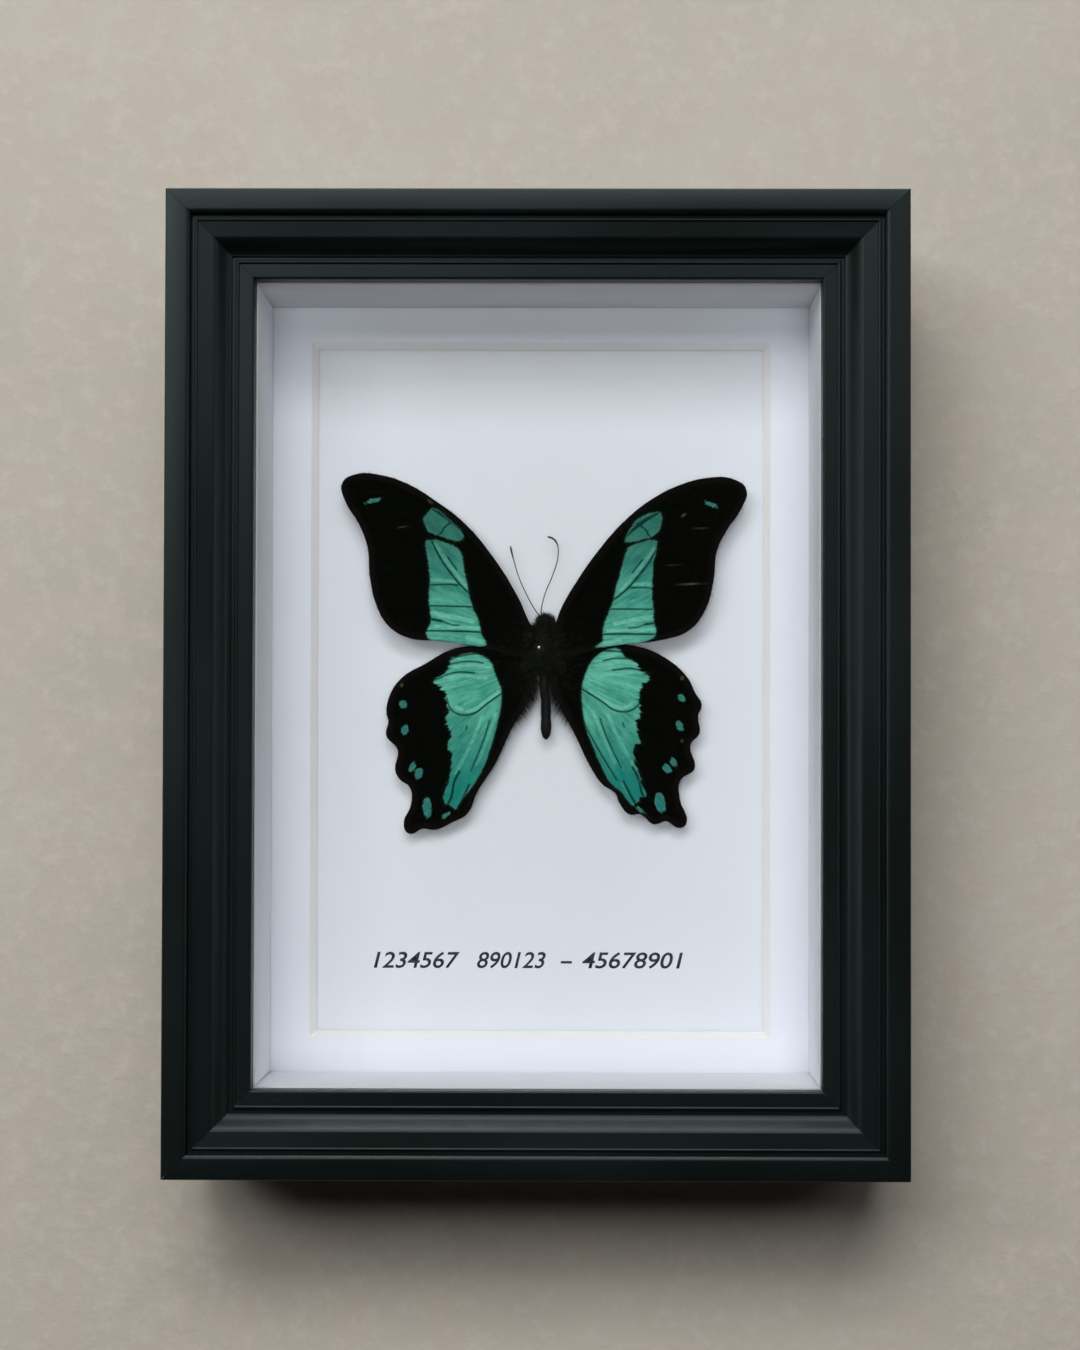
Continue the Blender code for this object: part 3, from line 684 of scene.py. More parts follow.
class BUTTERFLY_OT_moulding(bpy.types.Operator):
    """Build the four mitred rails of the painted frame"""

    bl_idname = "butterfly.moulding"
    bl_label = "Moulding"

    def execute(self, context):
        sizes = context.scene.butterfly_moulding
        section = moulding_section(sizes)
        # The sweep takes the section's X as forwards and its Y as outwards.
        flat = [(-(back + FRONT_Y), -inwards, 0.0) for inwards, back in section]
        loop = [(index, (index + 1) % len(flat)) for index in range(len(flat))]
        outline = bpy.data.meshes.new("moulding_section")
        outline.from_pydata(flat, loop, [])
        tree = rail_tree()
        paint = painted_wood(context.scene.butterfly_finishes)
        sides = {"bottom": 0, "left": 90, "top": 180, "right": 270}
        for side, turn in sides.items():
            upright = side in ("left", "right")
            mesh = grow(
                tree,
                outline,
                length=OUTER_HEIGHT if upright else OUTER_WIDTH,
                reach=(OUTER_WIDTH if upright else OUTER_HEIGHT) / 2,
                mitre_gap=sizes.mitre_gap,
                turn=(0.0, math.radians(turn), 0.0),
                centre=(0.0, 0.0, CENTRE_Z),
                finish=paint,
            )
            mesh.name = "moulding_" + side
            finish_piece("moulding_" + side, mesh, ["rail_" + side], sharp=40)
        return {"FINISHED"}


# ---------------------------------------------------------------- glass, sheets and caption


def dress(nodes, material):
    """Gives CAD nodes that stay a finished material."""
    for name in nodes:
        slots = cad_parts[name].data.materials
        slots.clear()
        slots.append(material)


class BUTTERFLY_OT_sheets(bpy.types.Operator):
    """Finish the glass, the spacers, the mat, the card and the backing board"""

    bl_idname = "butterfly.sheets"
    bl_label = "Glass and Sheets"

    def execute(self, context):
        look = context.scene.butterfly_finishes
        dress(["glass_pane"], clear_glass())
        dress(["spacer_left", "spacer_right"], paper("foam_board", look.spacer))
        # Painted shade: the top strip is a greyer board, standing in for the shade it lies in.
        dress(["spacer_top"], paper("top_foam_board", look.spacer_top))
        # Painted shade: the bottom strip is a little darker than the sides, toning down the light it gets.
        dress(["spacer_bottom"], paper("bottom_foam_board", look.spacer_bottom))
        dress(["window_mat"], paper("mat_board", look.mat, look.mat_core))
        dress(["mount_card"], paper("smooth_card", look.card))
        dress(["backing_board"], hardboard())
        return {"FINISHED"}


class CaptionSizes(bpy.types.PropertyGroup):
    """The printed line: plain counting digits in three groups."""

    baseline: length("Baseline", "Height from the middle", -62.5 * MM)
    height: length("Height", "Height of a digit", 3.7 * MM)
    slant: number("Slant", "How far the digits lean, as a share of their height", 0.24)
    first: words("First Group", "Digits of the first group", "1234567")
    second: words("Second Group", "Digits of the second group", "890123")
    third: words("Third Group", "Digits of the third group", "45678901")
    ink_depth: length("Ink", "How proud the ink stands", 0.02 * MM)


# The span that each group of the caption fills, left and right of the frame's middle, and the dash.
CAPTION_SPANS = {"first": (-37.2, -17.9), "second": (-14.3, 1.6), "third": (9.2, 32.1)}
CAPTION_DASH = (4.7, 7.2)
DASH_HEIGHT = 1.4
DASH_THICKNESS = 0.55
BOLDER = 0.012


class BUTTERFLY_OT_caption(bpy.types.Operator):
    """Print plain slanted digits on the card under the butterfly"""

    bl_idname = "butterfly.caption"
    bl_label = "Caption"

    def execute(self, context):
        sizes = context.scene.butterfly_caption
        shapes = []
        for group, (left, right) in CAPTION_SPANS.items():
            text = bpy.data.curves.new(group, "FONT")
            text.body = getattr(sizes, group)
            text.resolution_u = 4
            text.offset = BOLDER
            mesh = settle(put(group, text))
            flat = points_of(mesh)
            low, high = flat.min(0), flat.max(0)
            width = (right - left) * MM - sizes.slant * sizes.height
            fit = Matrix.Diagonal((width / (high[0] - low[0]), sizes.height / (high[1] - low[1]), 1, 1))
            mesh.transform(fit @ Matrix.Translation((-low[0], -low[1], 0)))
            mesh.transform(Matrix.Translation((left * MM, sizes.baseline, 0)))
            lean = Matrix.Identity(4)
            lean[0][1] = sizes.slant
            lean[0][3] = -sizes.slant * sizes.baseline
            mesh.transform(lean)
            shapes.append(mesh)
        dash = bmesh.new()
        bmesh.ops.create_grid(dash, x_segments=1, y_segments=1, size=0.5)
        wide = (CAPTION_DASH[1] - CAPTION_DASH[0]) * MM
        middle = Vector((sum(CAPTION_DASH) / 2 * MM, sizes.baseline + DASH_HEIGHT * MM, 0))
        size = Matrix.Diagonal((wide, DASH_THICKNESS * MM, 1, 1))
        bmesh.ops.transform(dash, matrix=Matrix.Translation(middle) @ size, verts=dash.verts)
        dash_mesh = bpy.data.meshes.new("dash")
        dash.to_mesh(dash_mesh)
        dash.free()
        flat = join_meshes("caption_digits", [*shapes, dash_mesh])
        weld(flat)
        stand = Matrix(((1, 0, 0, 0), (0, 0, -1, CARD_FRONT), (0, 1, 0, CENTRE_Z), (0, 0, 0, 1)))
        flat.transform(stand)
        printed = evaluated(flat, "ink", "SOLIDIFY", thickness=sizes.ink_depth, offset=1.0)
        weld(printed)
        finish_piece("caption_digits", printed, materials=[printing_ink()])
        return {"FINISHED"}


# ---------------------------------------------------------------- the wings' markings and veins

# Green fields, as outlines round each field.
FIELDS = {
    "forewing_left": [
        [
            (-23.3, 40.1), (-26.0, 37.8), (-25.1, 35.4), (-23.7, 34.3), (-17.9, 32.7), (-17.3, 34.7),
            (-19.5, 36.9),
        ],
        [
            (-25.3, 32.9), (-25.0, 28.7), (-24.6, 24.2), (-24.8, 19.8), (-24.3, 15.3), (-24.5, 10.8),
            (-12.7, 9.3), (-13.0, 12.4), (-13.6, 15.1), (-14.8, 17.8), (-15.7, 20.9), (-16.1, 22.9),
            (-16.8, 26.0), (-17.2, 29.1), (-18.1, 30.9), (-20.6, 32.3),
        ],
    ],
    "forewing_right": [
        [(26.2, 39.3), (21.7, 37.9), (19.1, 34.1), (19.3, 32.5), (25.5, 34.1), (27.1, 37.7)],
        [
            (20.0, 31.7), (18.6, 29.2), (17.7, 25.4), (16.9, 23.0), (16.2, 19.8), (15.3, 17.4), (14.0, 13.6),
            (13.8, 10.7), (12.7, 9.1), (24.7, 10.9), (25.3, 16.0), (24.9, 22.0), (25.3, 28.0), (25.7, 33.0),
        ],
    ],
    "hindwing_left": [
        [
            (-15.4, 8.0), (-19.5, 6.7), (-21.0, 4.0), (-23.7, 2.0), (-23.2, 1.1), (-21.4, -0.7),
            (-20.3, -4.5), (-21.2, -6.9), (-19.8, -10.3), (-20.5, -12.5), (-19.6, -14.1), (-19.8, -17.0),
            (-20.3, -20.5), (-21.4, -23.9), (-21.4, -25.2), (-19.8, -26.3), (-18.7, -27.0), (-17.8, -25.4),
            (-16.0, -23.2), (-14.0, -20.5), (-12.2, -17.0), (-10.5, -11.8), (-8.9, -5.6), (-8.5, -1.8),
            (-8.7, 0.4), (-9.8, 2.9), (-10.7, 5.6), (-12.3, 7.1),
        ]
    ],
    "hindwing_right": [
        [
            (17.1, 9.2), (19.1, 7.2), (20.9, 6.1), (22.5, 4.1), (24.5, 3.0), (23.8, 1.6), (22.7, 0.5),
            (22.0, -4.4), (22.3, -5.5), (21.4, -8.0), (22.3, -11.8), (21.2, -12.7), (20.9, -14.9),
            (22.3, -19.3), (23.4, -23.3), (22.5, -24.2), (21.4, -25.6), (20.1, -25.4), (17.8, -22.7),
            (15.6, -20.9), (14.0, -18.0),
            (11.8, -13.1), (10.0, -8.0), (9.3, -3.3), (9.3, 0.7), (10.2, 3.8), (11.5, 6.3), (13.8, 8.3),
        ]
    ],
}

# Spots: middle, half width and half length, and lean to the right in degrees.
SPOTS = {
    "forewing_left": [((-37.2, 41.8), (0.5, 1.7), 72)],
    "forewing_right": [((38.0, 41.0), (0.5, 1.6), -68)],
    "hindwing_left": [
        ((-30.5, -3.5), (0.85, 0.95), 20), ((-30.1, -9.2), (0.8, 1.15), 12),
        ((-28.4, -17.5), (0.62, 1.25), 26), ((-27.0, -18.9), (0.85, 1.3), 20),
        ((-25.1, -26.5), (1.05, 2.25), -4), ((-21.0, -28.2), (0.5, 1.1), 53),
    ],
    "hindwing_right": [
        ((31.5, -2.0), (0.72, 1.05), -35), ((31.1, -8.2), (0.75, 1.3), -25),
        ((29.8, -16.4), (0.68, 1.2), -27), ((28.3, -17.7), (0.85, 1.15), -40),
        ((26.8, -25.3), (1.2, 2.4), -10), ((22.4, -26.9), (0.45, 1.15), -55),
    ],
}

# Places where the scales are rubbed off and the bare membrane shows: as the spots.
WORN = {
    "forewing_left": [((-24.4, 41.6), (0.35, 0.8), -50), ((-30.6, 35.9), (0.13, 0.9), 80)],
    "forewing_right": [
        ((33.7, 23.3), (0.2, 2.7), 88), ((35.5, 35.7), (0.14, 1.3), 88), ((31.8, 38.6), (0.25, 0.6), 50),
        ((29.7, 27.5), (0.12, 1.4), 88),
    ],
    "hindwing_left": [((-30.8, 0.8), (0.4, 0.5), 0)],
    "hindwing_right": [((31.6, 2.5), (0.4, 0.5), 0), ((31.6, -11.5), (0.3, 0.4), 0)],
}

# Painted highlights along pleats in the green fields, beside the veins of the left wings, with each one's
# width.
FOREWING_PLEAT_HIGHLIGHTS = [
    (0.30, [(-23.3, 32.0), (-20.1, 27.4), (-16.2, 22.4)]),
    (0.20, [(-24.4, 24.1), (-21.0, 23.9), (-18.5, 23.7)]),
    (0.55, [(-24.6, 16.9), (-20.0, 16.0), (-15.0, 14.9)]),
    (0.30, [(-23.4, 13.9), (-19.0, 13.6), (-13.4, 13.3)]),
    (0.50, [(-16.2, 11.3), (-14.5, 10.9), (-13.0, 10.4)]),
]
HINDWING_PLEAT_HIGHLIGHTS = [
    (0.35, [(-18.6, -4.0), (-16.6, -5.0), (-14.2, -4.4), (-11.8, -2.7), (-9.2, -0.8)]),
    (0.30, [(-19.6, 4.9), (-15.6, 5.2), (-11.0, 4.8)]),
    (0.30, [(-21.4, 2.6), (-16.8, 2.8), (-12.0, 2.4)]),
    (0.35, [(-13.0, -6.4), (-15.0, -11.5), (-18.6, -18.8)]),
    (0.25, [(-9.8, -5.5), (-11.6, -11.0), (-14.0, -17.0)]),
    (0.25, [(-15.6, -21.9), (-16.6, -24.0)]),
]

# The left wings' veins from the root outwards, with each vein's thickness. The right wings mirror them.
FOREWING_VEINS = [
    (0.24, [
        (-2.5, 13.5), (-6.6, 21.3), (-12.4, 29.6), (-18.5, 35.9), (-25.5, 40.9), (-33.0, 45.0),
        (-40.5, 45.9),
    ]),
    (0.20, [(-2.5, 13.0), (-9.0, 24.0), (-17.0, 34.5), (-22.0, 38.9), (-33.0, 43.5), (-43.0, 43.2)]),
    (0.16, [(-19.2, 37.3), (-21.2, 35.9), (-21.8, 34.8), (-23.2, 33.7)]),
    (0.14, [(-26.4, 37.0), (-33.0, 38.3), (-41.2, 38.2)]),
    (0.14, [(-25.2, 34.5), (-33.0, 34.0), (-39.4, 33.4)]),
    (0.22, [(-2.5, 11.5), (-9.5, 16.5), (-16.7, 22.0), (-20.9, 27.0), (-22.6, 29.7), (-24.4, 33.4)]),
    (0.10, [(-25.6, 31.9), (-31.0, 30.2), (-38.3, 29.0)]),
    (0.10, [(-25.2, 27.1), (-31.0, 25.8), (-37.9, 25.0)]),
    (0.12, [(-20.6, 29.3), (-19.6, 27.9), (-18.5, 26.3)]),
    (0.12, [(-18.3, 22.9), (-21.5, 23.1), (-30.0, 22.4), (-37.5, 21.2)]),
    (0.14, [(-11.5, 18.0), (-17.0, 18.2), (-26.0, 18.3), (-36.3, 17.8)]),
    (0.20, [(-3.0, 9.8), (-7.0, 11.6), (-13.2, 12.5), (-24.0, 12.8), (-34.6, 12.6)]),
    (0.10, [(-18.0, 14.0), (-19.8, 14.2), (-22.0, 15.1)]),
    (0.34, [(-21.8, 15.0), (-25.3, 15.6)]),
]
HINDWING_VEINS = [
    (0.18, [(-3.0, 6.8), (-10.0, 7.9), (-18.0, 7.2), (-26.0, 4.0), (-33.0, -1.0)]),
    (0.12, [(-12.6, 5.7), (-16.0, 6.1), (-20.4, 5.4)]),
    (0.14, [(-14.5, 3.5), (-19.0, 3.6), (-23.4, 1.9)]),
    (0.12, [(-21.0, -2.6), (-26.5, -5.6), (-33.4, -9.0)]),
    (0.18, [
        (-3.0, 3.0), (-8.5, -1.0), (-11.9, -3.4), (-14.3, -5.3), (-17.2, -5.9), (-19.8, -4.6),
        (-20.8, -2.0),
    ]),
    (0.12, [(-20.6, -8.6), (-25.8, -10.6), (-31.9, -13.8)]),
    (0.11, [(-20.6, -12.0), (-24.0, -15.2), (-31.0, -20.0)]),
    (0.10, [(-16.2, -8.2), (-16.5, -9.2)]),
    (0.30, [(-17.9, -18.3), (-19.1, -20.9), (-20.1, -25.1), (-24.0, -29.4)]),
    (0.26, [(-15.7, -21.3), (-17.3, -24.8), (-19.6, -29.2)]),
    (0.10, [(-11.2, -7.0), (-12.6, -11.6), (-15.4, -18.4)]),
    (0.14, [(-2.5, 4.0), (-5.5, -3.0), (-9.5, -12.0), (-14.3, -21.0)]),
]
MIDDLE_X = 0.75  # the body's midline
# The right wings are set a little differently: how far each is turned about its root, in degrees.
RIGHT_TURNS = {"forewing_right": -1.8, "hindwing_right": 3.0}
WING_ROOTS = {"forewing": (2.0, 10.5), "hindwing": (2.0, 5.5)}  # out from the midline, and up


def side_and_root(wing):
    """Which way a wing points, -1 for left and 1 for right, and its root."""
    side = -1 if wing.endswith("left") else 1
    root_out, root_up = WING_ROOTS[wing.split("_")[0]]
    return side, np.array((MIDDLE_X + side * root_out, root_up))


def right_hand(points, wing):
    """A left vein mirrored across the body and turned with its right wing."""
    root = side_and_root(wing)[1]
    angle = math.radians(RIGHT_TURNS[wing])
    turn = np.array(((math.cos(angle), -math.sin(angle)), (math.sin(angle), math.cos(angle))))
    mirrored = np.array([(2 * MIDDLE_X - x, z) for x, z in points])
    return (mirrored - root) @ turn.T + root


def wing_lines(wing, fore, hind):
    """A wing's veins or pleats, as (thickness, line)."""
    placed = []
    for thickness, points in fore if wing.startswith("fore") else hind:
        points = points if wing.endswith("left") else right_hand(points, wing)
        placed.append((thickness, smooth_line(points, VEIN_STEP)))
    return placed


VEIN_STEP = 0.5
FIELD_STEP = 0.6
SHEET_PITCH = 0.36  # spacing of the points that make up a wing
PLEAT = 0.2  # how far the wing sinks between its veins
PLEAT_REACH = 1.1
SAG_FORE = -0.45  # how far a forewing bows to the front
SAG_HIND = 0.55  # how far a hindwing's margin falls back
FOREWING_REACH = 52  # from the root to the tip
HINDWING_REACH = 45
RIPPLE = 0.05  # height of the slight waves in a dried wing
RIPPLE_TURNS = (0.7, 0.31)  # radians for each millimetre across and up
RIPPLE_START = 20  # how far out the waves reach their full height
MEMBRANE = 0.14
VEIN_TIP = 0.45  # a vein's thickness at its tip, as a share
FAR = 1e9
OUTSIDE = -9.0  # a depth well outside every outline
OVAL_RIM = 1.5  # sharpens the rims of the spots
# How the fields change with height: painted light, brighter low on the forewings and high on the hindwings;
# painted shade, greyer high on the forewings; and a bluer green low on the hindwings. Each is where it
# starts, where it is full, and its strength there.
SHADES = {
    "fore": {"glow": (38.48, 4.48, 1.0), "dull": (20, 36, 0.6), "cool": (0, 1, 0.0)},
    "hind": {"glow": (-22, 0, 1.0), "dull": (0, 1, 0.0), "cool": (-6, -22, 0.65)},
}
# How far the fields fray: evenly on a forewing, and on a hindwing more towards the margin.
FOREWING_FRAY = 0.12
HINDWING_FRAY = (17.5, 20.5, 0.5)
LEAST_FRAY = 0.05
# The streaks' own coordinates: round the root, out from it, and a step that parts left from right.
FLOW_ROUND = 19.8
FLOW_OUT = 0.12
FLOW_STEP = 7.0


def wing_outline(node_name):
    """The edge of a CAD wing's front face, as (x, z) in millimetres from the frame's middle, in order."""
    shape = bmesh.new()
    shape.from_mesh(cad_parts[node_name].data)
    bmesh.ops.remove_doubles(shape, verts=shape.verts, dist=0.001 * MM)
    shape.normal_update()
    front = {face for face in shape.faces if face.normal.y < -0.9}
    links = {}
    for edge in shape.edges:
        if sum(face in front for face in edge.link_faces) == 1:
            a, b = edge.verts
            links.setdefault(a, []).append(b)
            links.setdefault(b, []).append(a)
    start = min(links, key=lambda corner: (corner.co.z, corner.co.x))
    walk, here, before = [start], links[start][0], start
    while here is not start:
        walk.append(here)
        ways = links[here]
        here, before = (ways[0] if ways[0] is not before else ways[1]), here
    outline = [(corner.co.x / MM, (corner.co.z - CENTRE_Z) / MM) for corner in walk]
    shape.free()
    return outline


def wing_surface(wing, places, vein_distance):
    """The height of a wing's middle surface at each place, as Y in millimetres."""
    low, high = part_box(wing)
    out = np.linalg.norm(places - side_and_root(wing)[1], axis=1)
    level = (low.y + high.y) / 2 / MM
    if wing.startswith("fore"):
        bow = SAG_FORE * np.sin(np.pi * np.clip(out / FOREWING_REACH, 0, 1))
    else:
        bow = SAG_HIND * np.clip(out / HINDWING_REACH, 0, 1) ** 2
    wave = np.sin(places[:, 0] * RIPPLE_TURNS[0] + places[:, 1] * RIPPLE_TURNS[1])
    ripple = RIPPLE * wave * np.clip(out / RIPPLE_START, 0, 1)
    pleat = PLEAT * (1 - np.exp(-((vein_distance / PLEAT_REACH) ** 2)))
    return level + bow + ripple + pleat


def rise(values, start, full, top=1.0):
    """0 before the start, growing evenly to the top value where it is full."""
    return np.clip((values - start) / (full - start), 0, 1) * top


def nearest_vein(places, veins):
    nearest = np.full(len(places), FAR)
    for thickness, line in veins:
        away = distance_to_line(places, line)[0] - thickness / 2
        nearest = np.minimum(nearest, np.maximum(away, 0))
    return nearest


def ovals(places, shapes):
    """How deep each place lies in any of a set of ovals."""
    deepest = np.full(len(places), OUTSIDE)
    for middle, (wide, tall), lean in shapes:
        angle = math.radians(lean)
        offset = places - np.array(middle)
        across = offset[:, 0] * math.cos(angle) - offset[:, 1] * math.sin(angle)
        up = offset[:, 0] * math.sin(angle) + offset[:, 1] * math.cos(angle)
        reach = np.hypot(across / wide, up / tall)
        deepest = np.maximum(deepest, (1 - reach) * min(wide, tall) * OVAL_RIM)
    return deepest


def wing_facts(wing, mesh, outline, veins, pleats):
    """Stores what the scales' material reads, for each point of the wing."""
    places = plane_places(mesh)
    field = np.full(len(places), OUTSIDE)
    for corners in FIELDS[wing]:
        field = np.maximum(field, depth_in(places, smooth_line(corners, FIELD_STEP, closed=True)))
    side, root = side_and_root(wing)
    offset = places - root
    out = np.linalg.norm(offset, axis=1)
    angle = np.arctan2(offset[:, 1], offset[:, 0] * side)
    flow = np.stack((angle * FLOW_ROUND, out * FLOW_OUT, np.full(len(out), side * FLOW_STEP)), axis=1)
    if wing.startswith("fore"):
        ragged = np.full(len(out), FOREWING_FRAY)
    else:
        ragged = np.maximum(rise(np.abs(places[:, 0] - MIDDLE_X), *HINDWING_FRAY), LEAST_FRAY)
    for name, shade in SHADES[wing[:4]].items():
        set_attribute(mesh, name, rise(places[:, 1], *shade))
    set_attribute(mesh, "field", field)
    set_attribute(mesh, "spot", ovals(places, SPOTS[wing]))
    set_attribute(mesh, "worn", ovals(places, WORN[wing]))
    set_attribute(mesh, "vein", nearest_vein(places, veins))
    set_attribute(mesh, "margin", distance_to_line(places, outline, closed=True)[0])
    set_attribute(mesh, "flow", flow)
    set_attribute(mesh, "ragged", ragged)
    set_attribute(mesh, "ridge", nearest_vein(places, pleats))


def wing_membrane(wing, outline, veins):
    """The wing's sheet: an even web of points inside the outline, pleated along the veins."""
    low, high = outline.min(0), outline.max(0)
    rows = np.arange(low[1], high[1], SHEET_PITCH * math.sqrt(0.75))
    columns = np.arange(low[0], high[0], SHEET_PITCH)
    web = [(x + (row % 2) * SHEET_PITCH / 2, z) for row, z in enumerate(rows) for x in columns]
    web = np.array(web)
    web = web[inside(web, outline)]
    web = web[distance_to_line(web, outline, closed=True)[0] > SHEET_PITCH * 0.5]
    places = np.concatenate((outline, web))
    rim = [(index, (index + 1) % len(outline)) for index in range(len(outline))]
    made = delaunay_2d_cdt([Vector(p) for p in places], rim, [], 1, 1e-6)
    places = np.array([tuple(p) for p in made[0]])
    level = wing_surface(wing, places, nearest_vein(places, veins))
    points = np.stack((places[:, 0], level, places[:, 1]), axis=1) * MM + np.array((0, 0, CENTRE_Z))
    mesh = bpy.data.meshes.new(wing)
    # The triangles run counter-clockwise in the plane, which faces them to the front.
    mesh.from_pydata(points.tolist(), [], [list(face) for face in made[2]])
    mesh.update()
    return evaluated(mesh, "membrane", "SOLIDIFY", thickness=MEMBRANE * MM, offset=0.0)


def vein_rods(wing, veins, outline):
    lines = []
    for thickness, line in veins:
        kept = line[inside(line, outline)]
        if len(kept) < 3:
            continue
        level = wing_surface(wing, kept, np.zeros(len(kept)))
        taper = np.linspace(1.0, VEIN_TIP, len(kept)) * thickness
        rows = zip(kept, level, taper)
        lines.append([((x * MM, y * MM, z * MM + CENTRE_Z), share) for (x, z), y, share in rows])
    return curve_mesh(wing + "_veins", lines, MM, sides=1)


# ---------------------------------------------------------------- hair


# The range of a hair's length, as shares of the length asked for.
SHORTEST_HAIR = 0.5
LONGEST_HAIR = 1.25
BODY_HEIGHT = 7  # the thorax, up from the frame's middle
RIM_HAIR = 0.35  # how far in from a wing's edge its fringe grows
RIM_COVER = 0.4
# Near the body: distance where the hair starts, distance where it is full, and what it adds there.
ROOT_COVER = (12.0, 6.0, 0.7)
ROOT_REACH = (9.0, 3.0, 1.0)
# The hindwing's inner margin: the band that is haired, and the heights where hair starts and is full. This
# hair is partly real and partly painted shade for the soft shadow between the hindwings.
INNER_BAND = 0.8
INNER_FADE = (-13, 0)


def hair_tree():
    """Covers a skin with short tapered hairs that lie along a stored direction."""
    tree, given = new_tree(
        "insect_hair",
        ("Density", "Float", 1e6),
        ("Length", "Float", 1 * MM),
        ("Thickness", "Float", 0.04 * MM),
        ("Stand", "Float", 0.5),
        ("Stray", "Float", 0.3),
        ("Seed", "Int", 1),
        ("Hair", "Material", None),
    )
    cover, lie, reach = (
        add(tree, "GeometryNodeInputNamedAttribute", {"Name": name}, data_type=kind).outputs[0]
        for name, kind in (("cover", "FLOAT"), ("lie", "FLOAT_VECTOR"), ("reach", "FLOAT"))
    )
    wanted = calculate(tree, "MULTIPLY", given["Density"], cover)
    spread = add(
        tree,
        "GeometryNodeDistributePointsOnFaces",
        {"Mesh": given["Geometry"], "Density": wanted, "Seed": given["Seed"]},
    )
    next_seed = calculate(tree, "ADD", given["Seed"], 1)
    tone = add(tree, "FunctionNodeRandomValue", {"Seed": next_seed}).outputs[1]
    tones = {"Geometry": spread.outputs["Points"], "Name": "tone", "Value": tone}
    toned = add(tree, "GeometryNodeStoreNamedAttribute", tones)
    cone = {"Vertices": 4, "Side Segments": 2, "Fill Segments": 1, "Radius Top": 0.0}
    cone |= {"Radius Bottom": given["Thickness"], "Depth": given["Length"]}
    strand = add(tree, "GeometryNodeMeshCone", cone)
    upright = vectors(tree, "SCALE", {0: spread.outputs["Normal"], "Scale": given["Stand"]})
    anywhere = {0: (-1, -1, -1), 1: (1, 1, 1), "Seed": calculate(tree, "ADD", given["Seed"], 2)}
    stray = add(tree, "FunctionNodeRandomValue", anywhere, data_type="FLOAT_VECTOR")
    loose = vectors(tree, "SCALE", {0: stray.outputs[0], "Scale": given["Stray"]})
    way = vectors(tree, "ADD", {0: vectors(tree, "ADD", {0: upright, 1: lie}), 1: loose})
    turned = add(tree, "FunctionNodeAlignRotationToVector", {"Vector": way}, axis="Z")
    sizes = {2: SHORTEST_HAIR, 3: LONGEST_HAIR, "Seed": calculate(tree, "ADD", given["Seed"], 3)}
    size = add(tree, "FunctionNodeRandomValue", sizes)
    tall = calculate(tree, "MULTIPLY", size.outputs[1], reach)
    shape = add(tree, "ShaderNodeCombineXYZ", {"X": 1.0, "Y": 1.0, "Z": tall})
    coat = {"Points": toned.outputs[0], "Instance": strand.outputs["Mesh"]}
    coat |= {"Rotation": turned.outputs[0], "Scale": shape.outputs[0]}
    hairs = add(tree, "GeometryNodeInstanceOnPoints", coat)
    real = add(tree, "GeometryNodeRealizeInstances", {"Geometry": hairs.outputs[0]}).outputs[0]
    coloured = add(tree, "GeometryNodeSetMaterial", {"Geometry": real, "Material": given["Hair"]})
    both = add(tree, "GeometryNodeJoinGeometry", {"Geometry": given["Geometry"]})
    tree.links.new(coloured.outputs[0], both.inputs[0])
    return close_tree(tree, both.outputs[0])


class BUTTERFLY_OT_wings(bpy.types.Operator):
    """Build the four wings, with their veins, markings and fringes"""

    bl_idname = "butterfly.wings"
    bl_label = "Wings"

    def execute(self, context):
        look = context.scene.butterfly_finishes
        hair = context.scene.butterfly_hair
        scales = wing_scales(look)
        fringe = fuzz("wing_hair", look.hair_dark, look.wing_edge, look.hair_tip)
        tree = hair_tree()
        for seed, wing in enumerate(FIELDS):
            outline = smooth_line(wing_outline(wing), SHEET_PITCH, closed=True)
            veins = wing_lines(wing, FOREWING_VEINS, HINDWING_VEINS)
            pleats = wing_lines(wing, FOREWING_PLEAT_HIGHLIGHTS, HINDWING_PLEAT_HIGHLIGHTS)
            whole = join_meshes(wing, [wing_membrane(wing, outline, veins), vein_rods(wing, veins, outline)])
            whole.materials.append(scales)
            wing_facts(wing, whole, outline, veins, pleats)
            self.lay_hair(wing, whole, outline)
            whole.shade_smooth()
            haired = grow(
                tree,
                whole,
                density=hair.wing_density,
                length=hair.wing_length,
                thickness=hair.thickness,
                stand=0.12,
                stray=0.22,
                seed=seed * 10 + 5,
                hair=fringe,
            )
            part, side = wing.split("_")
            finish_piece(f"{side}_{part}", haired, [wing])
        return {"FINISHED"}

    def lay_hair(self, wing, mesh, outline):
        """Where hair grows on a wing, and how: a short fringe on its margin and long hair near the body."""
        places = plane_places(mesh)
        to_rim = distance_to_line(places, outline, closed=True)[0]
        side = side_and_root(wing)[0]
        out = np.hypot(places[:, 0] - MIDDLE_X, (places[:, 1] - BODY_HEIGHT) * 0.75)
        cover = np.where(to_rim < RIM_HAIR, RIM_COVER, 0.0) + rise(out, *ROOT_COVER)
        centre = np.array((MIDDLE_X, 12.0 if wing.startswith("fore") else 9.0))
        away = places - centre
        away /= np.linalg.norm(away, axis=1)[:, None]
        lie = np.stack((away[:, 0], np.zeros(len(away)), away[:, 1]), axis=1)
        reach = 1 + rise(out, *ROOT_REACH)
        if wing.startswith("hind"):
            # Long soft dark hair hangs from the inner margin towards the card, thickest beside the body:
            # partly the real hair, partly painted shade standing in for the soft shadow between the
            # hindwings.
            inward = (out < 30) & (away[:, 0] * side < 0.62) & (places[:, 1] < 3.5)
            inner = inward & (to_rim < INNER_BAND)
            fade = rise(places[:, 1], *INNER_FADE)
            cover = np.where(inner, 0.4 + 5.0 * fade**2, cover)
            reach = np.where(inner, 0.9 + 4.2 * fade, reach)
            lie = np.where(inner[:, None], np.array((-0.5 * side, 0.45, -1.0)), lie)
        set_attribute(mesh, "cover", cover)
        set_attribute(mesh, "lie", lie)
        set_attribute(mesh, "reach", reach)


# ---------------------------------------------------------------- the body

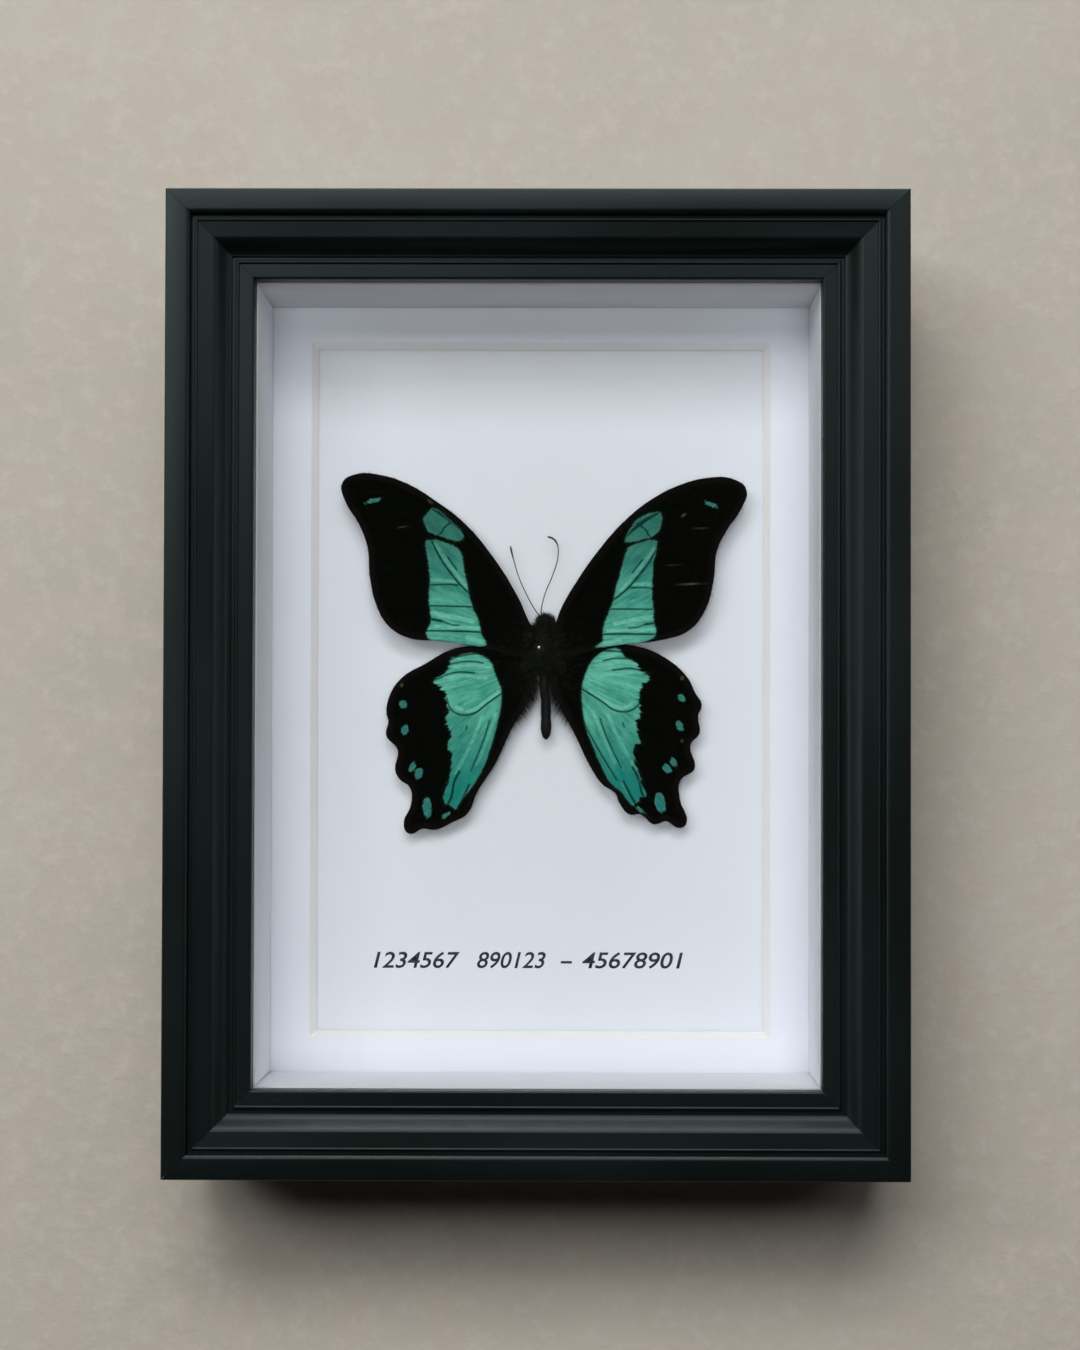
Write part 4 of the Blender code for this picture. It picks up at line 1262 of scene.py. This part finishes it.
# Middle (x, z), then half sizes across, front to back and along, in millimetres.
BODY_MASSES = {
    "thorax": ((0.7, 8.7), (3.3, 2.6, 6.0)),
    "head": ((1.2, 14.9), (1.7, 1.5, 1.8)),
    "left_shoulder": ((-1.9, 11.2), (1.3, 2.7, 2.3)),
    "right_shoulder": ((3.3, 11.6), (1.4, 2.7, 2.4)),
    "left_hip": ((-2.1, 4.8), (1.8, 2.2, 2.0)),
    "right_hip": ((3.4, 5.0), (1.7, 2.2, 2.1)),
    "waist": ((1.0, 0.8), (1.05, 1.2, 5.0)),
    "abdomen": ((1.3, -4.8), (1.12, 1.2, 5.4)),
    "tail": ((1.34, -8.2), (1.2, 1.25, 3.1)),
}
EYES = [(-0.25, 15.3), (2.65, 15.3)]
EYE_HALVES = (0.72, 0.8, 0.9)
SEGMENT = 1.35  # length of one ring of the abdomen
RING_HEIGHT = 0.06
RINGS_TOP = 2.0
ABDOMEN_RADIUS = 1.3
PIN_CLEAR = 0.75  # bare skin round the pin
# Heights up the body, with the value at each: the middle's x, and shares of the hair's density and length.
BODY_LINE = ((-12, -6, 1, 9, 16), (1.35, 1.35, 1.0, 0.7, 1.2))
HAIR_COVER = ((-12, 0, 3, 5, 14, 17), (0.10, 0.12, 0.5, 1.0, 1.0, 0.45))
HAIR_REACH = ((-12, 0, 4, 14, 17), (0.25, 0.35, 1.0, 1.0, 0.6))


class HairSizes(bpy.types.PropertyGroup):
    """How the insect's hair grows."""

    body_density: number("Body Density", "Hairs per square metre", 3.2e7)
    body_length: length("Body Length", "Length of a hair", 1.5 * MM)
    wing_density: number("Wing Density", "Hairs per square metre", 9e6)
    wing_length: length("Wing Length", "Length of a hair", 0.75 * MM)
    thickness: length("Thickness", "Radius at a hair's root", 0.03 * MM)


def rounded_mass(name, place, halves):
    shape = bmesh.new()
    bmesh.ops.create_uvsphere(shape, u_segments=32, v_segments=20, radius=1)
    stretch = Matrix.Diagonal((*(half * MM for half in halves), 1))
    middle = Vector((place[0] * MM, BODY_MIDDLE_Y, CENTRE_Z + place[1] * MM))
    bmesh.ops.transform(shape, matrix=Matrix.Translation(middle) @ stretch, verts=shape.verts)
    made = bpy.data.meshes.new(name)
    shape.to_mesh(made)
    shape.free()
    return made


class BUTTERFLY_OT_body(bpy.types.Operator):
    """Build the furry head, thorax and abdomen, with two round eyes"""

    bl_idname = "butterfly.body"
    bl_label = "Body"

    def execute(self, context):
        look = context.scene.butterfly_finishes
        hair = context.scene.butterfly_hair
        masses = [rounded_mass(name, *sizes) for name, sizes in BODY_MASSES.items()]
        lumps = join_meshes("lumps", masses)
        voxels = {"mode": "VOXEL", "voxel_size": 0.22 * MM, "use_smooth_shade": True}
        skin = evaluated(lumps, "skin", "REMESH", **voxels)
        self.shape_skin(skin)
        skin.materials.clear()
        skin.materials.append(chitin())
        furred = grow(
            hair_tree(),
            skin,
            density=hair.body_density,
            length=hair.body_length,
            thickness=hair.thickness * 1.3,
            stand=0.55,
            stray=0.5,
            seed=71,
            hair=fuzz("body_hair", look.hair_dark, look.hair_light, look.hair_tip),
        )
        furred.name = "furry_body"
        finish_piece("furry_body", furred, ["butterfly_body"])
        eye, tree, shader = start_material("compound_eye", Roughness=0.22, Specular_IOR_Level=0.5)
        # Facets are drawn coarser than the real ones, which are too fine to show.
        facets = mottle(tree, 6000, 1)
        feed(tree, shader, Base_Color=ramp(tree, facets, "0E0C0A", "241C14"))
        bump(tree, shader, facets, 0.00002, 0.5)
        eyes = join_meshes("eyes", [rounded_mass("eye", place, EYE_HALVES) for place in EYES])
        finish_piece("eyes", eyes, materials=[eye], sharp=60)
        return {"FINISHED"}

    def shape_skin(self, skin):
        """Rings the abdomen, and stores how thick the hair grows and which way it lies."""
        points = points_of(skin)
        across = points[:, 0] / MM
        up = (points[:, 2] - CENTRE_Z) / MM
        depth = (points[:, 1] - BODY_MIDDLE_Y) / MM
        ringed = up < RINGS_TOP
        rings = np.where(ringed, RING_HEIGHT * np.abs(np.sin(np.pi * up / SEGMENT)), 0.0)
        middle = np.interp(up, *BODY_LINE)
        swell = 1 + (rings - RING_HEIGHT / 2 * ringed) / ABDOMEN_RADIUS
        x = (middle + (across - middle) * swell) * MM
        moved = np.stack((x, depth * swell * MM + BODY_MIDDLE_Y, points[:, 2]), 1)
        skin.vertices.foreach_set("co", moved.astype(np.float32).ravel())
        skin.update()
        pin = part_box("insect_pin")
        pin_x = (pin[0].x + pin[1].x) / 2 / MM
        pin_up = ((pin[0].z + pin[1].z) / 2 - CENTRE_Z) / MM
        clear = np.clip(np.hypot(across - pin_x, up - pin_up) / PIN_CLEAR - 0.6, 0, 1)
        thick = np.interp(up, *HAIR_COVER)
        out = np.stack((across - 0.7, np.zeros(len(up)), (up - 9) * 0.25), axis=1)
        out /= np.maximum(np.linalg.norm(out, axis=1), 1e-6)[:, None]
        down = np.clip((4 - up) / 6, 0, 1)[:, None]
        lie = out * 0.55 * (1 - down) + np.array((0, 0, -0.9)) * down
        set_attribute(skin, "cover", thick * clear)
        set_attribute(skin, "lie", lie)
        set_attribute(skin, "reach", np.interp(up, *HAIR_REACH))


# Each antenna from its socket in the head to the tip of its club.
ANTENNAE = {
    "antenna_left": [(0.4, 15.6), (-1.0, 17.4), (-2.7, 20.3), (-4.7, 24.7), (-6.0, 28.9), (-6.7, 31.8)],
    "antenna_right": [
        (0.6, 15.8), (0.2, 17.6), (1.1, 21.4), (2.6, 25.0), (3.8, 28.8), (3.9, 31.8),
        (3.0, 33.4), (1.6, 34.0),
    ],
}
ANTENNA_SHAFT = 0.105
CLUB_SHARE = 0.17
CLUB_SWELL = 2.0
ANTENNA_RING = 0.35


class BUTTERFLY_OT_antennae(bpy.types.Operator):
    """Build the two ringed antennae and finish the pin"""

    bl_idname = "butterfly.antennae"
    bl_label = "Antennae and Pin"

    def execute(self, context):
        horn, tree, shader = start_material("antenna_horn", Roughness=0.5)
        feed(tree, shader, Base_Color=ramp(tree, mottle(tree, 2600, 2), "12100E", "2A2622"))
        for name, route in ANTENNAE.items():
            line = smooth_line(route, ANTENNA_RING / 2)
            rods = []
            for index, (x, z) in enumerate(line):
                share = index / (len(line) - 1)
                to_club = max(0.0, (share - 1 + CLUB_SHARE) / CLUB_SHARE)
                club = 1 + (CLUB_SWELL - 1) * math.sin(math.pi * min(1.0, to_club * 0.8 + 0.02))
                ring = 1.0 + 0.12 * (index % 2)
                rods.append(((x * MM, BODY_MIDDLE_Y, z * MM + CENTRE_Z), club * ring))
            mesh = curve_mesh(name, [rods], ANTENNA_SHAFT * MM, sides=3)
            finish_piece("ringed_" + name, mesh, [name], [horn], sharp=60)
        self.make_pin()
        return {"FINISHED"}

    def make_pin(self):
        low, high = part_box("insect_pin")
        x, z = (low.x + high.x) / 2, (low.z + high.z) / 2
        radius = (high.x - low.x) / 2
        # Along the pin from its rounded head to its point: share of its length, share of its radius.
        head = [(0.0, 0.5), (0.015, 1.1), (0.04, 1.45), (0.08, 1.5)]
        shank = [(0.12, 0.9), (0.82, 0.8), (1.0, 0.08)]
        rod = [((x, low.y + (high.y - low.y) * along, z), share) for along, share in head + shank]
        steel = plated_steel("polished_pin_steel", "C9C7BE", "F0EEE6", 0.2)
        pin = curve_mesh("headed_pin", [rod], radius, sides=5)
        finish_piece("headed_pin", pin, ["insect_pin"], [steel], 50)


# ---------------------------------------------------------------- the back


def softened_copy(node, width):
    """A copy of a CAD node's mesh with its sharp edges rounded."""
    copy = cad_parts[node].data.copy()
    copy.materials.clear()
    weld(copy, 1e-6)
    if "custom_normal" in copy.attributes:
        copy.attributes.remove(copy.attributes["custom_normal"])
    edges = {"limit_method": "ANGLE", "angle_limit": math.radians(30)}
    return evaluated(copy, "soften", "BEVEL", width=width, segments=2, **edges)


class BUTTERFLY_OT_back(bpy.types.Operator):
    """Finish the steel tabs, the hanger and its nails on the back"""

    bl_idname = "butterfly.back"
    bl_label = "Back"

    def execute(self, context):
        zinc = plated_steel("zinc_plated_steel", "8B8D8C", "B4B6B4", 0.38)
        brass = plated_steel("brass_plated_steel", "8F7636", "C2A65C", 0.32)
        tabs = ["left_upper", "left_lower", "right_upper", "right_lower", "top", "bottom"]
        for tab in tabs:
            mesh = softened_copy("tab_" + tab, 0.12 * MM)
            finish_piece("point_" + tab, mesh, ["tab_" + tab], [zinc], 40)
        pieces = {"hanger_plate": "sawtooth_hanger"}
        pieces |= {"hanger_nail_left": "left_hanger_nail", "hanger_nail_right": "right_hanger_nail"}
        for node, name in pieces.items():
            mesh = softened_copy(node, 0.1 * MM)
            finish_piece(name, mesh, [node], [brass], 40)
        return {"FINISHED"}


# ---------------------------------------------------------------- finishes that a user would change


class Finishes(bpy.types.PropertyGroup):
    """The colours of the frame, its sheets and the insect."""

    paint_dark: colour("Paint Dark", "Darker parts of the paint", "070C0B")
    paint_light: colour("Paint Light", "Lighter parts of the paint", "0B1211")
    paint_roughness: number("Paint Roughness", "Satin of the paint", 0.38)
    spacer: colour("Spacer", "Foam board that lines the case", "F2F3F8")
    # Painted shade: the top strip is greyer than the sides because it lies in shade.
    spacer_top: colour("Top Spacer", "The greyer strip along the top", "DCDBDC")
    # Painted shade: a little darker than the side strips, to tone down the light on the bottom.
    spacer_bottom: colour("Bottom Spacer", "The strip along the bottom", "ECEDF2")
    mat: colour("Mat", "Face of the mat board", "E9EAF4")
    mat_core: colour("Mat Core", "Bevelled edge of the mat board", "EFEBEC")
    card: colour("Card", "Card behind the butterfly", "E6E7F0")
    wing_black: colour("Wing Black", "Ground of the wings", "020402")
    wing_brown: colour("Wing Brown", "Lighter ground of the wings", "090A06")
    wing_edge: colour("Wing Edge", "Thin scales along the margins", "15110F")
    green_pale: colour("Pale Green", "Lightest streaks of the fields", "6ABFA7")
    green_mid: colour("Mid Green", "Body of the fields", "3B917F")
    green_deep: colour("Deep Green", "Deepest streaks of the fields", "1C6A62")
    # Painted shade: the greyer green high on the forewings stands in for less light there.
    green_dull: colour("Dull Green", "Greyer green high on the forewings", "2F5B53")
    green_cool: colour("Cool Green", "Bluer green low on the hindwings", "147E76")
    green_shade: colour("Green Shade", "Dusting round the fields", "06241C")
    # Painted highlight along the pleats beside the veins.
    ridge: colour("Pleat", "Bright pleats beside the veins", "7FD0B6")
    fringe: colour("Fringe", "Greyish scales round the fields", "4B6C61")
    vein_shade: colour("Vein Shade", "Veins across the fields", "08302A")
    spot_blue: colour("Spot Blue", "Blue of the marginal spots", "2A7377")
    worn_membrane: colour("Worn Membrane", "Bare wing where scales are rubbed off", "6E6458")
    hair_dark: colour("Dark Hair", "Most of the hair", "050503")
    hair_light: colour("Light Hair", "Paler hair", "181B12")
    hair_tip: colour("Hair Tips", "The palest few hairs", "3C4233")
    wall: colour("Wall", "Plastered wall behind the frame", "BEB8AD")
    wall_shade: colour("Wall Shade", "Faint clouds on the wall", "B6B0A4")
    wall_warm: colour("Warm Wall", "Warmer patches on the wall", "BEB4A9")
    wall_pale: colour("Pale Wall", "Paler trowel marks", "C5C1B7")


# ---------------------------------------------------------------- the stage


class StageSizes(bpy.types.PropertyGroup):
    """The wall, floor, lamps and camera."""

    wall_gap: length("Wall Gap", "Wall behind the frame", 2.5 * MM)
    floor_drop: length("Floor Drop", "Floor below the frame", 0.55)
    main_power: number("Main Lamp", "Watts, in front and above", 9.6)
    front_power: number("Front Lamp", "Watts, low in front", 2.6)
    left_power: number("Left Lamp", "Watts, low on the left", 6.8)
    right_power: number("Right Lamp", "Watts, low on the right", 1.4)
    fill_power: number("Fill Lamp", "Watts, low, for the case alone", 7.6)
    wall_power: number("Wall Lamp", "Watts, for the wall alone", 8.1)
    back_power: number("Back Lamp", "Watts, behind the wall", 30.0)
    top_sheen: number("Top Sheen", "Watts, high overhead", 22.0)
    left_sheen: number("Left Sheen", "Watts, far to the left", 9.0)
    right_sheen: number("Right Sheen", "Watts, far to the right", 6.0)
    # The camera stands a little below and to the right of the frame's middle, in front of its back.
    camera_place: FloatVectorProperty(
        name="Camera",
        description="Camera from the frame's middle",
        unit="LENGTH",
        default=(0.01056, -0.45313, -0.01903),
    )
    camera_yaw: number("Yaw", "Camera's turn in degrees", 0.271)
    camera_pitch: number("Pitch", "Camera's tilt in degrees", 0.871)
    camera_roll: number("Roll", "Camera's roll in degrees", 0.125)
    camera_lens: number("Lens", "Focal length in millimetres", 53.05)
    shift_x: number("Shift X", "Sideways shift of the lens", -0.02812)
    shift_y: number("Shift Y", "Upward shift of the lens", 0.05128)


LAMP_REACH = 1.6  # from the middle of the frame
WALL_HALF = 1.5
FLOOR_HALF = 3.0


def add_lamp(name, rise, turn, wide, tall, power, hidden_from=()):
    """A soft white rectangular lamp that faces the middle of the frame. Turn 0 is in front of it.

    A lamp hidden from "glossy" rays leaves no reflection. One hidden from "diffuse" rays leaves only that.
    """
    data = bpy.data.lights.new(name, "AREA")
    data.shape = "RECTANGLE"
    data.size, data.size_y = wide, tall
    data.energy = power
    lamp = put(name, data)
    up, side = math.radians(rise), math.radians(turn)
    way = Vector((math.sin(side) * math.cos(up), -math.cos(side) * math.cos(up), math.sin(up)))
    middle = Vector((0, 0, CENTRE_Z))
    lamp.location = middle + way * LAMP_REACH
    lamp.rotation_euler = (-way).to_track_quat("-Z", "Y").to_euler()
    # A pane's second face sends its reflection out as light passed through the glass.
    lamp.visible_glossy = "glossy" not in hidden_from
    lamp.visible_transmission = "glossy" not in hidden_from
    lamp.visible_diffuse = "diffuse" not in hidden_from
    return lamp


def link_light(lamp, piece, state):
    """Makes a lamp light one piece alone ("INCLUDE") or all the others ("EXCLUDE")."""
    group = bpy.data.collections.new(lamp.name + "_pieces")
    group.objects.link(piece)
    group.collection_objects[0].light_linking.link_state = state
    lamp.light_linking.receiver_collection = group


def plane(name, half, place, turn, material):
    shape = bmesh.new()
    bmesh.ops.create_grid(shape, x_segments=1, y_segments=1, size=half)
    bmesh.ops.transform(shape, matrix=Matrix.Translation(place) @ turn, verts=shape.verts)
    data = bpy.data.meshes.new(name)
    shape.to_mesh(data)
    shape.free()
    data.materials.append(material)
    made = put(name, data)
    return made


class BUTTERFLY_OT_stage(bpy.types.Operator):
    """Set up the plastered wall, the floor, the soft lamps and the camera"""

    bl_idname = "butterfly.stage"
    bl_label = "Stage"

    def execute(self, context):
        stage = context.scene.butterfly_stage
        look = context.scene.butterfly_finishes
        face_room = Matrix.Rotation(math.radians(90), 4, "X")
        wall_place = (0, BACK_Y + stage.wall_gap, CENTRE_Z)
        wall = plane("wall", WALL_HALF, wall_place, face_room, plastered_wall(look))
        # Lamps behind the wall light the frame's back through it.
        wall.visible_shadow = False
        floor_place = (0, 0, OUTER_BOTTOM - stage.floor_drop)
        floor = plane("floor", FLOOR_HALF, floor_place, Matrix.Identity(4), plain_floor())
        # The floor is seen and lit, but throws no light back up at the frame.
        floor.visible_diffuse = False
        floor.visible_glossy = False
        # Each lamp's angle up, angle to the side, width, height and power.
        add_lamp("main_lamp", 38, 0, 0.9, 0.42, stage.main_power)
        add_lamp("front_lamp", 20, 0, 0.7, 0.42, stage.front_power, ["glossy"])
        add_lamp("left_lamp", 20, -31, 0.7, 0.42, stage.left_power)
        add_lamp("right_lamp", 20, 31, 0.7, 0.42, stage.right_power)
        add_lamp("back_lamp", 35, 155, 1.2, 0.9, stage.back_power)
        # The case is filled with low light that the wall's shadow doesn't get.
        fill = add_lamp("fill_lamp", -6, 0, 0.9, 0.5, stage.fill_power, ["glossy"])
        link_light(fill, wall, "EXCLUDE")
        wall_lamp = add_lamp("wall_lamp", 36, -12, 0.8, 0.5, stage.wall_power)
        link_light(wall_lamp, wall, "INCLUDE")
        # These show only as the sheen on the paint.
        add_lamp("top_sheen", 76, -20, 1.2, 0.8, stage.top_sheen, ["diffuse"])
        add_lamp("left_sheen", 8, -84, 1.5, 1.0, stage.left_sheen, ["diffuse"])
        add_lamp("right_sheen", 8, 84, 1.5, 1.0, stage.right_sheen, ["diffuse"])
        self.light_room(context)
        self.place_camera(context, stage)
        context.scene.view_settings.view_transform = "Standard"
        return {"FINISHED"}

    def light_room(self, context):
        """A dim room for the lamps to show against, seen as a pale backdrop."""
        world = bpy.data.worlds.new("room")
        context.scene.world = world
        world.use_nodes = True
        tree = world.node_tree
        dim = tree.nodes["Background"]
        dim.inputs["Color"].default_value = rgba("9AA0A4")
        dim.inputs["Strength"].default_value = 0.03
        backdrop = add(tree, "ShaderNodeBackground", {"Color": rgba("C4C0B8"), "Strength": 1.0})
        path = add(tree, "ShaderNodeLightPath")
        seen = path.outputs["Is Camera Ray"]
        mixed = add(tree, "ShaderNodeMixShader", {0: seen, 1: dim.outputs[0], 2: backdrop.outputs[0]})
        tree.links.new(mixed.outputs[0], tree.nodes["World Output"].inputs["Surface"])

    def place_camera(self, context, stage):
        data = bpy.data.cameras.new("camera")
        data.sensor_fit = "AUTO"
        data.sensor_width = 36.0
        data.lens = stage.camera_lens
        data.shift_x, data.shift_y = stage.shift_x, stage.shift_y
        data.clip_start = 0.01
        camera = put("camera", data)
        level = Euler((math.radians(90 + stage.camera_pitch), 0, math.radians(stage.camera_yaw)))
        roll = Matrix.Rotation(math.radians(stage.camera_roll), 4, "Z")
        place = Matrix.Translation(Vector(stage.camera_place) + Vector((0, BACK_Y, CENTRE_Z)))
        camera.matrix_world = place @ level.to_matrix().to_4x4() @ roll
        context.scene.camera = camera


# ---------------------------------------------------------------- the add-on


class BUTTERFLY_PT_panel(bpy.types.Panel):
    """The steps of the build, in order"""

    bl_idname = "BUTTERFLY_PT_panel"
    bl_label = "Framed Butterfly"
    bl_space_type = "VIEW_3D"
    bl_region_type = "UI"
    bl_category = "Butterfly"

    def draw(self, context):
        for step in STEPS:
            self.layout.operator(step.bl_idname)


GROUPS = {
    "butterfly_moulding": MouldingSizes,
    "butterfly_caption": CaptionSizes,
    "butterfly_hair": HairSizes,
    "butterfly_finishes": Finishes,
    "butterfly_stage": StageSizes,
}
STEPS = [
    BUTTERFLY_OT_stage,
    BUTTERFLY_OT_moulding,
    BUTTERFLY_OT_sheets,
    BUTTERFLY_OT_caption,
    BUTTERFLY_OT_wings,
    BUTTERFLY_OT_body,
    BUTTERFLY_OT_antennae,
    BUTTERFLY_OT_back,
]


def register():
    for group in (*GROUPS.values(), *STEPS, BUTTERFLY_PT_panel):
        bpy.utils.register_class(group)
    for name, group in GROUPS.items():
        setattr(bpy.types.Scene, name, PointerProperty(type=group))


def unregister():
    for name in GROUPS:
        delattr(bpy.types.Scene, name)
    for group in (BUTTERFLY_PT_panel, *reversed(STEPS), *GROUPS.values()):
        bpy.utils.unregister_class(group)


def main():
    register()
    for step in STEPS:
        group, name = step.bl_idname.split(".")
        getattr(getattr(bpy.ops, group), name)()


if __name__ == "__main__":
    main()
